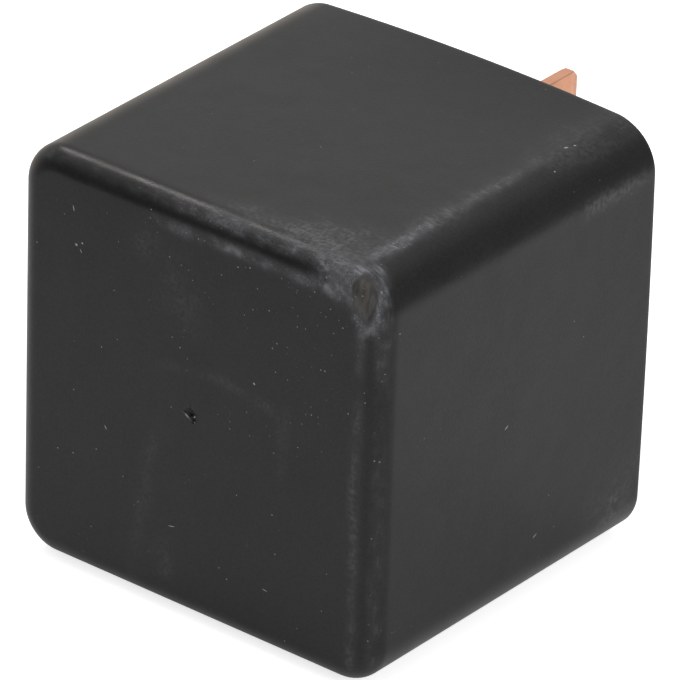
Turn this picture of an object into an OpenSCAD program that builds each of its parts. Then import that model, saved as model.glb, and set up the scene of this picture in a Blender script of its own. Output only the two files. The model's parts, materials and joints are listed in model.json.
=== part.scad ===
// Automotive mini relay with four blade terminals: a moulded cover snapped on a base plate,
// and inside it a coil on a steel frame whose hinged armature works a changeover contact.
// The coil is fed from the common blade through the frame, so it has one blade of its own, and
// the place of the other coil blade stays empty.
// Lengths are in millimetres. Every piece is drawn as the relay stands on its terminals,
// with Z up from the open rim of the cover, and is then laid on its side by lying().
// Lying down, Y points the way the blades point and Z is up, on the side of the common blade.

/* [Cover] */
// Width and depth of the cover at its open rim
cover_size = 28; // [27.8:0.1:34]
// Length of the cover from its open rim to its closed end
cover_length = 25.8; // [24.5:0.1:34]
// Lean of every moulded wall, in degrees
draft = 0.5; // [0.2:0.1:0.8]
// Radius of the four long edges at the open rim
edge_radius = 3; // [2.4:0.1:4]
// Radius round the closed end
rim_radius = 1.4; // [0.6:0.1:1.8]
// Wall round the base plate
socket_wall = 1.25; // [1:0.05:1.5]
// Step in the wall that the base plate stops against
base_ledge = 0.2; // [0.1:0.05:0.3]
// Wall of the closed end
end_wall = 1.3; // [1:0.1:1.8]
// Radius round the cavity's ceiling
inner_rim = 0.5; // [0.3:0.1:0.8]
// Diameter of the moulding gate's pit
gate_diameter = 1; // [0.5:0.1:1.5]
// Depth of the moulding gate's pit
gate_depth = 0.2; // [0.1:0.05:0.4]

/* [Base] */
// Thickness of the base plate
base_thickness = 3.4; // [3:0.1:4.5]
// Gap between the base plate and the cover
base_gap = 0.08; // [0.05:0.01:0.15]
// Width and depth of the bevel that leaves a gutter along the rim
gutter = 0.6; // [0.3:0.1:0.9]
// Radius of the snap ribs on the base plate
snap_radius = 0.45; // [0.35:0.05:0.55]
// How far a snap rib stands out of the base plate
snap_reach = 0.3; // [0.2:0.05:0.4]
// Length of a snap rib
snap_length = 5; // [3:0.5:7]
// Depth of the pocket round each blade
pocket_depth = 0.5; // [0.2:0.1:0.8]
// Room round each blade in its pocket
pocket_room = 0.6; // [0.3:0.1:0.9]

/* [Terminals] */
// Width of a blade
blade_width = 6.3; // [5.8:0.1:6.6]
// Thickness of the terminal strip
strip_thickness = 0.8; // [0.6:0.05:1]
// Length of a blade past the open rim
blade_length = 10.7; // [9:0.1:13]
// Chamfer on the corners of a blade's tip
tip_chamfer = 0.55; // [0.3:0.05:1]
// Length of the lead-in on the faces of a blade's tip
tip_lead = 0.9; // [0.5:0.1:1.5]
// Thickness left at a blade's tip
tip_thickness = 0.45; // [0.3:0.05:0.55]
// Distance between the coil blade and the empty place across from it
coil_blade_pitch = 18; // [17.6:0.1:19]
// Distance from the common blade to the normally open blade
common_to_open = 16.8; // [16.6:0.1:17.2]
// Distance from the common blade to the coil blade
common_to_coil = 8.4; // [8.2:0.1:8.8]
// Distance from the normally closed blade to the normally open blade
closed_to_open = 8; // [7.8:0.1:8.3]
// Place of the common blade above the middle of the base
common_blade_y = 6.35; // [6.2:0.05:6.5]
// Inner radius of a folded strip
fold_radius = 0.4; // [0.3:0.05:0.5]
// Width of the riser that carries the normally closed contact
riser_width = 2.6; // [2:0.1:3]
// Place of the riser's outer side past the middle of the coil blade
riser_offset = 0.6; // [0.2:0.1:1]
// Width of the strip's arm that runs to the riser in the base plate
arm_width = 2.5; // [1.8:0.1:3]
// Depth of the strip's top below the top of the base plate
channel_depth = 0.3; // [0.1:0.1:0.6]
// Width of a solder tongue
tongue_width = 2; // [1.5:0.1:2.6]
// Gap between the frame's side and a solder tongue
tongue_room = 0.85; // [0.8:0.05:1.1]
// Width of the coil link's foot, which is welded to the side of the frame
link_width = 3; // [2.6:0.1:3.2]
// Depth of the coil link's peg in the base plate
peg_depth = 2.2; // [1.5:0.1:2.6]
// Width of the tenon that rivets the common blade to the frame
tenon_width = 3; // [2:0.2:4]
// Height of a solder tongue above the base plate
tongue_height = 5.8; // [5.4:0.1:7]

/* [Magnet frame] */
// Room between the cover's inner wall and the frame's back
frame_room = 1.25; // [1.1:0.05:1.6]
// Thickness of the frame's strip
frame_thickness = 2; // [1.8:0.1:2.2]
// Width of the frame
frame_width = 15.5; // [14:0.1:16]
// Inner radius of the frame's bend
frame_bend = 0.5; // [0.3:0.1:1]
// Reach of the frame's foot past the core's spigot
foot_reach = 2.2; // [1.5:0.1:3]
// Radius of the edge that the armature rocks on
knife_radius = 0.5; // [0.3:0.05:0.6]
// Diameter of the core
core_diameter = 7.6; // [6:0.1:8]
// Diameter of the core's pole head
pole_diameter = 9.6; // [8.6:0.1:11]
// Thickness of the core's pole head
pole_thickness = 1; // [0.8:0.1:1.4]
// Diameter of the core's spigot in the frame
spigot_diameter = 5; // [4:0.1:5.6]

/* [Coil] */
// Outer diameter of the winding
winding_diameter = 15.2; // [13:0.1:15.4]
// Depth of a bobbin flange, from front to back
flange_depth = 15.6; // [15.4:0.1:15.8]
// How far a bobbin flange reaches past each side of the frame
flange_lip = 0.05; // [0:0.05:0.2]
// Corner radius of a bobbin flange
flange_corner = 1.5; // [1:0.1:3]
// Thickness of a bobbin flange
flange_thickness = 0.9; // [0.7:0.1:1.2]
// Wall of the bobbin's tube
bobbin_wall = 0.7; // [0.5:0.1:1]
// Gap between the bobbin and the frame's upright
coil_room = 0.5; // [0.3:0.1:0.7]
// Diameter of a coil lead
lead_diameter = 0.3; // [0.2:0.05:0.4]
// Height of the coil leads above the lower flange
lead_rise = 0.6; // [0.3:0.1:1]
// How far the solder bead reaches past the tongue
solder_lip = 0.15; // [0.1:0.05:0.3]
// Turns of a coil lead round its tongue
lead_turns = 3; // [2:1:4]

/* [Armature] */
// Angle between released and pulled in, in degrees
armature_travel = 3.2; // [2.8:0.1:3.4]
// Thickness of the armature
armature_thickness = 1.6; // [1.4:0.1:1.8]
// Width of the armature over the frame
armature_width = 14; // [12:0.1:15]
// Width of the armature's front edge
armature_nose = 9; // [7:0.1:11]
// Length over which the armature narrows to its front edge
nose_taper = 3.4; // [2:0.2:5]
// Gap left between the armature and the pole when pulled in
pull_in_gap = 0.05; // [0.03:0.01:0.08]
// Thickness of the contact spring
spring_thickness = 0.25; // [0.2:0.05:0.3]
// Width of the contact spring
spring_width = 7; // [6:0.1:8]
// Radius of the contact spring's rounded end
spring_end_radius = 2.1; // [1.8:0.1:2.3]
// Length over which the contact spring narrows to its end
spring_taper = 2; // [1:0.2:3]
// Height of the contact spring's leg on the frame
spring_leg = 9; // [8:0.1:10]
// Diameter of the small rivets
rivet_diameter = 1.6; // [1.2:0.1:2]
// How far a small rivet's head reaches past its shank
rivet_lip = 0.6; // [0.3:0.1:0.8]
// Height of a small rivet's head
rivet_head = 0.45; // [0.3:0.05:0.5]
// Room between the armature's rivets and the pole head
pole_room = 0.4; // [0.2:0.1:0.6]
// Place of the frame's rivets above the end of the spring's leg
rivet_edge = 3.5; // [2:0.1:4]
// Distance between a pair of small rivets
rivet_pitch = 4; // [3.6:0.1:4.4]

/* [Contacts] */
// Diameter of every contact button
button_diameter = 2.8; // [2.4:0.1:3.2]
// Height of the moving contact's button below the spring
lower_button = 1.2; // [1:0.1:1.4]
// Height of the moving contact's button above the spring
upper_button = 0.7; // [0.5:0.1:0.9]
// Height of the fixed contacts' buttons
fixed_button = 0.65; // [0.5:0.05:0.9]
// Radius of the moving contact's domed faces
dome_radius = 6; // [5:0.5:10]
// Diameter of a contact rivet's shank
shank_diameter = 1.4; // [1.2:0.1:1.6]
// How far the closed head behind a fixed contact reaches past the shank
shank_lip = 0.25; // [0.15:0.05:0.3]
// Height of the closed head behind a fixed contact
shank_head = 0.2; // [0.1:0.05:0.3]
// Gap left between two contacts that meet
contact_gap = 0.03; // [0.02:0.01:0.05]
// Strip left round a fixed contact's button
shelf_margin = 0.25; // [0.1:0.05:0.4]
// Length of strip that an armature's front edge leaves bare behind the moving contact
nose_room = 1.6; // [1.2:0.1:2]
// Place of the contacts in front of the normally open blade
contact_reach = 1.5; // [1.45:0.05:1.6]

/* [Fits] */
// Gap round a piece that is pushed or riveted through another
fit_gap = 0.02; // [0.01:0.01:0.04]
// Room between the cover's ceiling and the strip under it
carrier_room = 0.6; // [0.5:0.05:0.8]
// Room between the cover's front wall and the riser
wall_room = 0.35; // [0.2:0.05:0.6]
// Room between two strips in the base plate
strip_room = 1.2; // [0.8:0.1:1.6]

/* [Hidden] */

$fn = 64;
// A length to the nearest micrometre, so that pieces worked out by angles still meet exactly
function trim(length) = round(1000 * length) / 1000;
// Overshoot of a cut past the surface that it opens
past = 1;

// The cover's inside: a socket for the base plate, then the cavity over the mechanism
socket_half = cover_size / 2 - socket_wall;
cavity_half = socket_half - base_ledge;
ceiling = cover_length - end_wall;
// The rear and front inner walls at the height where the mechanism comes nearest to them
cavity_half_high = trim(cavity_half - ceiling * tan(draft));

// The base plate
base_half = trim(socket_half - base_thickness * tan(draft) - base_gap);
base_corner = edge_radius - socket_wall;
snap_height = base_thickness / 2;

// The blades stand where the common standard for mini relays puts them
tip_z = -blade_length;
open_blade_y = common_blade_y - common_to_open;
closed_blade_y = open_blade_y + closed_to_open;
coil_blade_y = common_blade_y - common_to_coil;
coil_blade_x = coil_blade_pitch / 2;

// The frame, with its foot on the base plate and its upright behind the coil
frame_back = cavity_half - frame_room;
frame_inner = frame_back - frame_thickness;
foot_top = base_thickness + frame_thickness;
core_y = frame_inner - coil_room - flange_depth / 2;
foot_front = core_y - spigot_diameter / 2 - foot_reach;
// The common blade's tenon in the frame's foot
tenon_low_y = common_blade_y - tenon_width / 3;

// The normally closed contact hangs under the ceiling, and the frame's height follows from it
carrier_top = ceiling - carrier_room;
carrier_bottom = carrier_top - strip_thickness;
closed_face = carrier_bottom - fixed_button;
contact_y = open_blade_y + contact_reach;
pivot_y = frame_back - knife_radius;
// Height of the armature's top over its pivot, then of the upper dome's centre
armature_rise = knife_radius + pull_in_gap + armature_thickness;
dome_rise = armature_rise + spring_thickness + upper_button - dome_radius;
contact_arm = pivot_y - contact_y;
pivot_z = trim(closed_face - contact_gap - dome_radius
    - dome_rise * cos(armature_travel) - contact_arm * sin(armature_travel));
pole_z = pivot_z + knife_radius;
spring_z = pivot_z + armature_rise;
armature_back = frame_back - fold_radius;
armature_front = contact_y + button_diameter / 2 + nose_room;

// The normally open contact stands under the spring, level with the pulled-in contact
open_face = spring_z - lower_button - contact_gap;
shelf_top = open_face - fixed_button;

// The coil fills the height between the foot and the pole head
flange_low = foot_top;
winding_low = flange_low + flange_thickness;
flange_high = pole_z - pole_thickness - flange_thickness;
tube_radius = core_diameter / 2 + fit_gap + bobbin_wall;

// The strip of the normally closed blade runs in a channel of the base plate to its riser
channel_top = base_thickness - channel_depth;
channel_floor = channel_top - strip_thickness;
arm_front = coil_blade_y - blade_width / 2 - strip_room;
riser_x = coil_blade_x - riser_width + riser_offset;
riser_front = -(cavity_half_high - wall_room);

// The tongues stand beside the frame, and the coil leads are wound on them above the lower flange,
// under a bead of solder
tongue_x = trim(frame_width / 2 + tongue_room + strip_thickness / 2);
lead_z = winding_low + lead_rise;
solder_radius = tongue_width / 2 + solder_lip;
solder_z = lead_z + lead_turns * lead_diameter + solder_radius / 2;

// The rivets pass behind the pole head, and near the foot of the spring's leg
armature_rivet_y = core_y + pole_diameter / 2 + rivet_diameter / 2 + pole_room;
spring_rivet_z = pole_z - spring_leg + rivet_edge;

// ---- Shapes that several pieces share ----

// Lays a piece that is drawn standing on its terminals on its side
module lying() {
    rotate([90, 0, 0]) children();
}

// Stands a flat outline up in the Y-Z plane and gives it a width along X
module across(width, x = 0) {
    translate([x, 0, 0]) rotate([90, 0, 90]) linear_extrude(width, center = true) children();
}

// Half the section of a drafted wall block, from its axis out to its foot, with a rounded rim
module half_section(foot, height, rim) {
    rim_x = foot - (rim + (height - rim) * sin(draft)) / cos(draft);
    rim_y = height - rim;
    polygon([
        [0, 0], [foot, 0],
        [rim_x + rim * cos(draft), rim_y + rim * sin(draft)],
        [rim_x, rim_y], [rim_x, height], [0, height]
    ]);
    // A quarter of the rim's circle and a little more, up to where the lean begins
    translate([rim_x, rim_y]) intersection() {
        circle(rim);
        translate([0, -rim / 2]) square(2 * rim);
    }
}

// A drafted square block with rounded long edges and a rounded rim round its top
module drafted_block(half, height, corner, rim) {
    flat = half - corner;
    for (turn = [0, 90]) rotate([0, 0, turn]) across(2 * flat) {
        half_section(half, height, rim);
        mirror([1, 0]) half_section(half, height, rim);
    }
    for (turn = [0:90:270]) rotate([0, 0, turn]) translate([flat, flat, 0])
        rotate_extrude(angle = 90) half_section(corner, height, rim);
}

// A plain square plate with rounded corners
module rounded_plate(half, corner, thickness) {
    linear_extrude(thickness) {
        square([2 * half, 2 * (half - corner)], center = true);
        square([2 * (half - corner), 2 * half], center = true);
        for (sx = [-1, 1], sy = [-1, 1]) translate([sx, sy] * (half - corner)) circle(corner);
    }
}

// A blade from its chamfered tip at the origin up to the given height, wide along X
module blade(height) {
    half = blade_width / 2;
    thin = tip_thickness / 2;
    thick = strip_thickness / 2;
    intersection() {
        rotate([90, 0, 0]) linear_extrude(2 * strip_thickness, center = true) polygon([
            [-half, height], [-half, tip_chamfer], [-half + tip_chamfer, 0],
            [half - tip_chamfer, 0], [half, tip_chamfer], [half, height]
        ]);
        across(2 * blade_width) polygon([
            [-thick, height], [-thick, tip_lead], [-thin, 0],
            [thin, 0], [thick, tip_lead], [thick, height]
        ]);
    }
}

// A quarter of a ring: the fold of a strip, seen on its edge, centred on the origin
module fold() {
    outer = fold_radius + strip_thickness;
    intersection() {
        difference() {
            circle(outer);
            circle(fold_radius);
        }
        square(outer);
    }
}

// The snap ribs along two sides of the base plate, and the grooves that take them
module snap_ribs(extra) {
    for (side = [-1, 1])
        translate([side * (base_half + snap_reach - snap_radius), 0, snap_height])
            rotate([90, 0, 0])
                cylinder(h = snap_length + 2 * extra, r = snap_radius + extra, center = true);
}

// Swings a piece of the armature about the frame's edge, from pulled in to released
module released() {
    translate([0, pivot_y, pivot_z]) rotate([-armature_travel, 0, 0])
        translate([0, -pivot_y, -pivot_z]) children();
}

// A pair of small holes or rivet shanks side by side
module at_pair(sides = [-1, 1]) {
    for (side = sides) translate([side * rivet_pitch / 2, 0, 0]) children();
}

// A domed small rivet head, flat side down on the origin
module rivet_cap() {
    radius = rivet_diameter / 2 + rivet_lip;
    dome = (radius * radius + rivet_head * rivet_head) / (2 * rivet_head);
    intersection() {
        translate([0, 0, rivet_head - dome]) sphere(dome);
        cylinder(h = rivet_head, r = radius);
    }
}

// ---- Casing ----

module cover() {
    color("#1c1c1e") lying() difference() {
        drafted_block(cover_size / 2, cover_length, edge_radius, rim_radius);
        translate([0, 0, -past]) linear_extrude(past + base_thickness)
            socket_outline();
        drafted_block(cavity_half, ceiling, edge_radius - socket_wall - base_ledge, inner_rim);
        snap_ribs(base_gap);
        translate([0, 0, cover_length - gate_depth])
            cylinder(h = gate_depth + past, d = gate_diameter);
    }
}

// The socket's outline, square with round corners
module socket_outline() {
    half = socket_half;
    flat = half - base_corner;
    square([2 * half, 2 * flat], center = true);
    square([2 * flat, 2 * half], center = true);
    for (sx = [-1, 1], sy = [-1, 1]) translate([sx, sy] * flat) circle(base_corner);
}

// An upright prism with a strip's section and room round it, wide along X
module strip_room_block(width, room, low, high) {
    half = [width / 2 + room, strip_thickness / 2 + room];
    translate([-half[0], -half[1], low]) cube([2 * half[0], 2 * half[1], high - low]);
}

// The shallow pocket at each blade's place, also at the empty one
module blade_pocket() strip_room_block(blade_width, fit_gap + pocket_room, -past, pocket_depth);

// Everything that the base plate leaves room for round one blade
module blade_slot() {
    strip_room_block(blade_width, fit_gap, -past, base_thickness + past);
    blade_pocket();
}

module at_open_blade() translate([0, open_blade_y, 0]) children();
module at_closed_blade() translate([0, closed_blade_y, 0]) children();
module at_common_blade() translate([0, common_blade_y, 0]) rotate([0, 0, 90]) children();
module at_coil_blade(side) translate([side * coil_blade_x, coil_blade_y, 0]) rotate([0, 0, 90]) children();
module at_tongue(side) translate([side * tongue_x, coil_blade_y, 0]) rotate([0, 0, 90]) children();

module base() {
    color("#232325") lying() difference() {
        union() {
            translate([0, 0, gutter])
                rounded_plate(base_half, base_corner, base_thickness - gutter);
            rounded_plate(base_half - gutter, base_corner, gutter);
            snap_ribs(0);
        }
        at_open_blade() blade_slot();
        at_closed_blade() blade_slot();
        at_common_blade() blade_slot();
        at_coil_blade(-1) blade_slot();
        at_coil_blade(1) blade_pocket();
        at_tongue(1)
            strip_room_block(tongue_width, fit_gap, base_thickness - peg_depth, base_thickness + past);
        translate([0, 0, channel_floor - fit_gap])
            linear_extrude(base_thickness) closed_strip_outline(fit_gap);
        fold_well();
    }
}

// The room under the fold of the normally closed strip, where it turns into its channel
module fold_well() {
    half = blade_width / 2 + fit_gap;
    deep = fold_radius + fit_gap;
    translate([-half, closed_blade_y - strip_thickness / 2 - deep, channel_floor - deep])
        cube([2 * half, deep + strip_thickness, base_thickness]);
}

// ---- Terminals ----

// The flat of the normally closed strip in the base plate, from its blade to its riser
module closed_strip_outline(extra) {
    half = blade_width / 2 + extra;
    back = closed_blade_y + strip_thickness / 2 + extra;
    right = riser_x + riser_width + extra;
    polygon([
        [-half, back], [-half, arm_front - arm_width - extra],
        [riser_x - extra, arm_front - arm_width - extra], [riser_x - extra, riser_front - extra],
        [right, riser_front - extra], [right, arm_front + extra],
        [half, arm_front + extra], [half, back]
    ]);
}

module terminal_30() {
    color("#c8724a") lying() {
        at_common_blade() translate([0, 0, tip_z]) blade(base_thickness - tip_z);
        across(strip_thickness) translate([tenon_low_y, base_thickness - past])
            square([tenon_width, foot_top - base_thickness + past]);
    }
}

// A solder tongue that starts at a height below the top of the base plate
module solder_tongue(root) {
    strip_room_block(tongue_width, 0, base_thickness - root, base_thickness + tongue_height);
}

// The coil blade: its root steps across to the tongue where the two don't stand in one plane
module terminal_85() {
    near = min(tongue_x, coil_blade_x) - strip_thickness / 2;
    far = max(tongue_x, coil_blade_x) + strip_thickness / 2;
    step_top = base_thickness + strip_thickness;
    color("#c8724a") lying() {
        at_coil_blade(-1) {
            translate([0, 0, tip_z]) blade(base_thickness - tip_z);
            strip_room_block(tongue_width, 0, base_thickness - past, step_top);
        }
        translate([-far, coil_blade_y - tongue_width / 2, base_thickness])
            cube([far - near, tongue_width, strip_thickness]);
        at_tongue(-1) solder_tongue(0);
    }
}

// The link across from the coil blade: its foot ties the coil's other end to the frame's side
module coil_link() {
    color("#c8724a") lying() at_tongue(1) {
        solder_tongue(peg_depth);
        translate([-link_width / 2, -strip_thickness / 2, base_thickness])
            cube([link_width, strip_thickness + tongue_room, strip_thickness]);
    }
}

module terminal_87() {
    inner = open_blade_y + strip_thickness / 2;
    fold_z = shelf_top - strip_thickness - fold_radius;
    shelf_end = contact_y + button_diameter / 2 + shelf_margin;
    color("#c8724a") lying() difference() {
        union() {
            at_open_blade() translate([0, 0, tip_z]) blade(fold_z - tip_z);
            across(blade_width) {
                translate([inner + fold_radius, fold_z]) rotate(90) fold();
                translate([inner + fold_radius, shelf_top - strip_thickness])
                    square([shelf_end - inner - fold_radius, strip_thickness]);
            }
        }
        translate([0, contact_y, 0]) cylinder(h = ceiling, d = shank_diameter + 2 * fit_gap);
    }
}

module terminal_87a() {
    blade_front = closed_blade_y - strip_thickness / 2;
    riser_back = riser_front + strip_thickness;
    low_fold_z = channel_top + fold_radius;
    high_fold_z = carrier_bottom - fold_radius;
    arm_x = riser_x + riser_width / 2;
    hook_half = button_diameter / 2 + shelf_margin;
    color("#c8724a") lying() difference() {
        union() {
            at_closed_blade() translate([0, 0, tip_z])
                blade(channel_floor - fold_radius - tip_z);
            across(blade_width)
                translate([blade_front - fold_radius, channel_floor - fold_radius]) fold();
            // The flat in the base plate, less the two stretches that its folds take
            translate([0, 0, channel_floor]) linear_extrude(strip_thickness) difference() {
                closed_strip_outline(0);
                translate([-blade_width, blade_front - fold_radius]) square(2 * blade_width);
                translate([riser_x - past, riser_front - past])
                    square([riser_width + 2 * past, past + strip_thickness + fold_radius]);
            }
            across(riser_width, arm_x) {
                translate([riser_back + fold_radius, low_fold_z]) rotate(180) fold();
                translate([riser_front, low_fold_z])
                    square([strip_thickness, high_fold_z - low_fold_z]);
                translate([riser_back + fold_radius, high_fold_z]) rotate(90) fold();
            }
            // The hook over the moving contact
            translate([0, 0, carrier_bottom]) linear_extrude(strip_thickness) {
                translate([riser_x, riser_back + fold_radius])
                    square([riser_width, contact_y + hook_half - riser_back - fold_radius]);
                translate([0, contact_y - hook_half]) square([riser_x + past, 2 * hook_half]);
                translate([0, contact_y]) circle(hook_half);
            }
        }
        translate([0, contact_y, channel_top + strip_thickness])
            cylinder(h = ceiling, d = shank_diameter + 2 * fit_gap);
    }
}

// ---- Magnet and coil ----

module yoke() {
    outer_bend = frame_bend + frame_thickness;
    low_z = base_thickness;
    color("#b9bcc0") lying() difference() {
        across(frame_width) {
            // Foot, bend and upright
            translate([foot_front, low_z])
                square([frame_back - outer_bend - foot_front, frame_thickness]);
            translate([frame_back - outer_bend, low_z + outer_bend]) intersection() {
                difference() {
                    circle(outer_bend);
                    circle(frame_bend);
                }
                translate([0, -outer_bend]) square(outer_bend);
            }
            translate([frame_inner, low_z + outer_bend])
                square([frame_thickness, pivot_z - low_z - outer_bend]);
            translate([frame_inner, pivot_z]) square([frame_thickness - knife_radius, knife_radius]);
            translate([pivot_y, pivot_z]) circle(knife_radius);
        }
        translate([0, core_y, 0])
            cylinder(h = ceiling, d = spigot_diameter + 2 * fit_gap);
        // Slot for the common blade's tenon
        across(strip_thickness + 2 * fit_gap) translate([tenon_low_y - fit_gap, low_z - past])
            square([tenon_width + 2 * fit_gap, frame_thickness + 2 * past]);
        at_pair() translate([0, 0, spring_rivet_z]) rotate([-90, 0, 0])
            cylinder(h = cover_size, d = rivet_diameter + 2 * fit_gap);
    }
}

module core() {
    color("#c6c9cc") lying() translate([0, core_y, 0]) {
        translate([0, 0, base_thickness]) cylinder(h = foot_top - base_thickness, d = spigot_diameter);
        translate([0, 0, foot_top])
            cylinder(h = pole_z - pole_thickness - foot_top, d = core_diameter);
        translate([0, 0, pole_z - pole_thickness]) cylinder(h = pole_thickness, d = pole_diameter);
    }
}

// One flange of the bobbin, as wide as the frame and a lip more, with round corners
module flange() {
    flat = [frame_width / 2 + flange_lip, flange_depth / 2] - flange_corner * [1, 1];
    linear_extrude(flange_thickness) {
        square(2 * [flat[0] + flange_corner, flat[1]], center = true);
        square(2 * [flat[0], flat[1] + flange_corner], center = true);
        for (sx = [-1, 1], sy = [-1, 1])
            translate([sx * flat[0], sy * flat[1]]) circle(flange_corner);
    }
}

module bobbin() {
    color("#e8e3d6") lying() translate([0, core_y, 0]) difference() {
        union() {
            for (z = [flange_low, flange_high]) translate([0, 0, z]) flange();
            translate([0, 0, flange_low])
                cylinder(h = flange_high - flange_low, r = tube_radius);
        }
        cylinder(h = ceiling, d = core_diameter + 2 * fit_gap);
    }
}

module winding_shape() {
    translate([0, core_y, winding_low])
        cylinder(h = flange_high - winding_low, d = winding_diameter);
}

module coil_winding() {
    color("#a4502c") lying() difference() {
        winding_shape();
        translate([0, core_y, 0]) cylinder(h = ceiling, r = tube_radius);
    }
}

// The turns of a lead, close round the tongue's section and level with the origin
module lead_wrap() {
    wire = lead_diameter;
    for (turn = [0:lead_turns - 1]) translate([0, 0, turn * wire]) linear_extrude(wire) difference() {
        union() {
            square([tongue_width + 2 * wire, strip_thickness], center = true);
            square([tongue_width, strip_thickness + 2 * wire], center = true);
            for (sx = [-1, 1], sy = [-1, 1])
                translate([sx * tongue_width, sy * strip_thickness] / 2) circle(wire);
        }
        square([tongue_width, strip_thickness], center = true);
    }
}

module coil_lead(side) {
    reach = tongue_x - strip_thickness / 2 - lead_diameter / 2;
    color("#b5532e") lying() difference() {
        union() {
            translate([0, coil_blade_y, lead_z + lead_diameter / 2]) rotate([0, side * 90, 0])
                cylinder(h = reach, d = lead_diameter);
            at_tongue(side) translate([0, 0, lead_z]) lead_wrap();
        }
        winding_shape();
    }
}

module coil_lead_30() coil_lead(1);
module coil_lead_85() coil_lead(-1);

module solder_joint(side) {
    low = lead_z + lead_turns * lead_diameter;
    color("#d5d8da") lying() at_tongue(side) difference() {
        translate([0, 0, solder_z]) sphere(solder_radius);
        translate([-past - solder_radius, -past - solder_radius, low - 2 * solder_radius])
            cube(2 * [solder_radius + past, solder_radius + past, solder_radius]);
        translate([-tongue_width / 2, -strip_thickness / 2, 0])
            cube([tongue_width, strip_thickness, base_thickness + tongue_height]);
    }
}

module solder_joint_30() solder_joint(1);
module solder_joint_85() solder_joint(-1);

// ---- Armature and contacts ----

module armature() {
    low = spring_z - armature_thickness;
    wide = armature_width / 2;
    nose = armature_nose / 2;
    shoulder = armature_front + nose_taper;
    color("#b3b6ba") lying() released() difference() {
        translate([0, 0, low]) linear_extrude(armature_thickness) polygon([
            [-wide, armature_back], [-wide, shoulder], [-nose, armature_front],
            [nose, armature_front], [wide, shoulder], [wide, armature_back]
        ]);
        at_pair() translate([0, armature_rivet_y, 0])
            cylinder(h = ceiling, d = rivet_diameter + 2 * fit_gap);
    }
}

// Points of an arc about a centre, from one angle to another
function arc(centre, radius, from, to, steps = 12) = [
    for (i = [0:steps]) let (a = from + (to - from) * i / steps)
        centre + radius * [cos(a), sin(a)]
];

// The spring on its edge: up the frame's back, round the bend and along the released armature
module spring_section() {
    // The bend is centred one bend radius from the frame's back and from the armature's top
    rise = armature_rise - fold_radius;
    bend_y = frame_back - fold_radius;
    slide = (pivot_y - bend_y + rise * sin(armature_travel)) / cos(armature_travel);
    bend = [bend_y, pivot_z + rise * cos(armature_travel) + slide * sin(armature_travel)];
    outer = fold_radius + spring_thickness;
    lean = 90 - armature_travel;
    along = (contact_arm + spring_end_radius + past) * [-sin(lean), cos(lean)];
    foot_z = pole_z - spring_leg;
    polygon(concat(
        [[frame_back + spring_thickness, foot_z]],
        arc(bend, outer, 0, lean),
        [bend + outer * [cos(lean), sin(lean)] + along],
        [bend + fold_radius * [cos(lean), sin(lean)] + along],
        arc(bend, fold_radius, lean, 0),
        [[frame_back, foot_z]]
    ));
}

// What is cut away beside the spring's tapered nose and round its end
module nose_waste() {
    half = spring_width / 2;
    neck = contact_y + spring_end_radius + spring_taper;
    far = contact_y - 2 * spring_end_radius - past;
    difference() {
        translate([-spring_width, far]) square([2 * spring_width, neck - far]);
        polygon([
            [-half, neck], [-spring_end_radius, contact_y],
            [spring_end_radius, contact_y], [half, neck]
        ]);
        translate([0, contact_y]) circle(spring_end_radius);
    }
}

module contact_spring() {
    color("#c98a4b") lying() difference() {
        across(spring_width) spring_section();
        at_pair() translate([0, 0, spring_rivet_z]) rotate([-90, 0, 0])
            cylinder(h = cover_size, d = rivet_diameter + 2 * fit_gap);
        released() {
            translate([0, 0, spring_z - past]) linear_extrude(spring_thickness + 2 * past) nose_waste();
            at_pair() translate([0, armature_rivet_y, 0])
                cylinder(h = 2 * ceiling, d = rivet_diameter + 2 * fit_gap);
            translate([0, contact_y, 0]) cylinder(h = 2 * ceiling, d = shank_diameter + 2 * fit_gap);
        }
    }
}

module armature_rivet(side) {
    low = spring_z - armature_thickness;
    color("#a8abb0") lying() released() at_pair([side]) translate([0, armature_rivet_y, 0]) {
        translate([0, 0, low])
            cylinder(h = armature_thickness + spring_thickness, d = rivet_diameter);
        translate([0, 0, spring_z + spring_thickness]) rivet_cap();
    }
}

module armature_rivet_left() armature_rivet(-1);
module armature_rivet_right() armature_rivet(1);

module spring_rivet(side) {
    color("#a8abb0") lying() at_pair([side])
        translate([0, frame_inner, spring_rivet_z]) rotate([-90, 0, 0]) {
            cylinder(h = frame_thickness + spring_thickness, d = rivet_diameter);
            translate([0, 0, frame_thickness + spring_thickness]) rivet_cap();
        }
}

module spring_rivet_left() spring_rivet(-1);
module spring_rivet_right() spring_rivet(1);

module moving_contact() {
    spring_top = spring_z + spring_thickness;
    color("#dfe1e2") lying() released() translate([0, contact_y, 0]) intersection() {
        union() {
            translate([0, 0, spring_z - lower_button]) cylinder(h = lower_button, d = button_diameter);
            translate([0, 0, spring_z - lower_button])
                cylinder(h = lower_button + spring_thickness + upper_button, d = shank_diameter);
            translate([0, 0, spring_top]) cylinder(h = upper_button, d = button_diameter);
        }
        translate([0, 0, spring_z - lower_button + dome_radius]) sphere(dome_radius);
        translate([0, 0, spring_top + upper_button - dome_radius]) sphere(dome_radius);
    }
}

// A fixed contact that stands on a strip at the origin, with its shank closed behind the strip
module fixed_contact() {
    cylinder(h = fixed_button, d = button_diameter);
    translate([0, 0, -strip_thickness]) cylinder(h = strip_thickness, d = shank_diameter);
    translate([0, 0, -strip_thickness - shank_head])
        cylinder(h = shank_head, r = shank_diameter / 2 + shank_lip);
}

module fixed_contact_87() {
    color("#dfe1e2") lying() translate([0, contact_y, shelf_top]) fixed_contact();
}

module fixed_contact_87a() {
    color("#dfe1e2") lying() translate([0, contact_y, carrier_bottom]) mirror([0, 0, 1]) fixed_contact();
}

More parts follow.
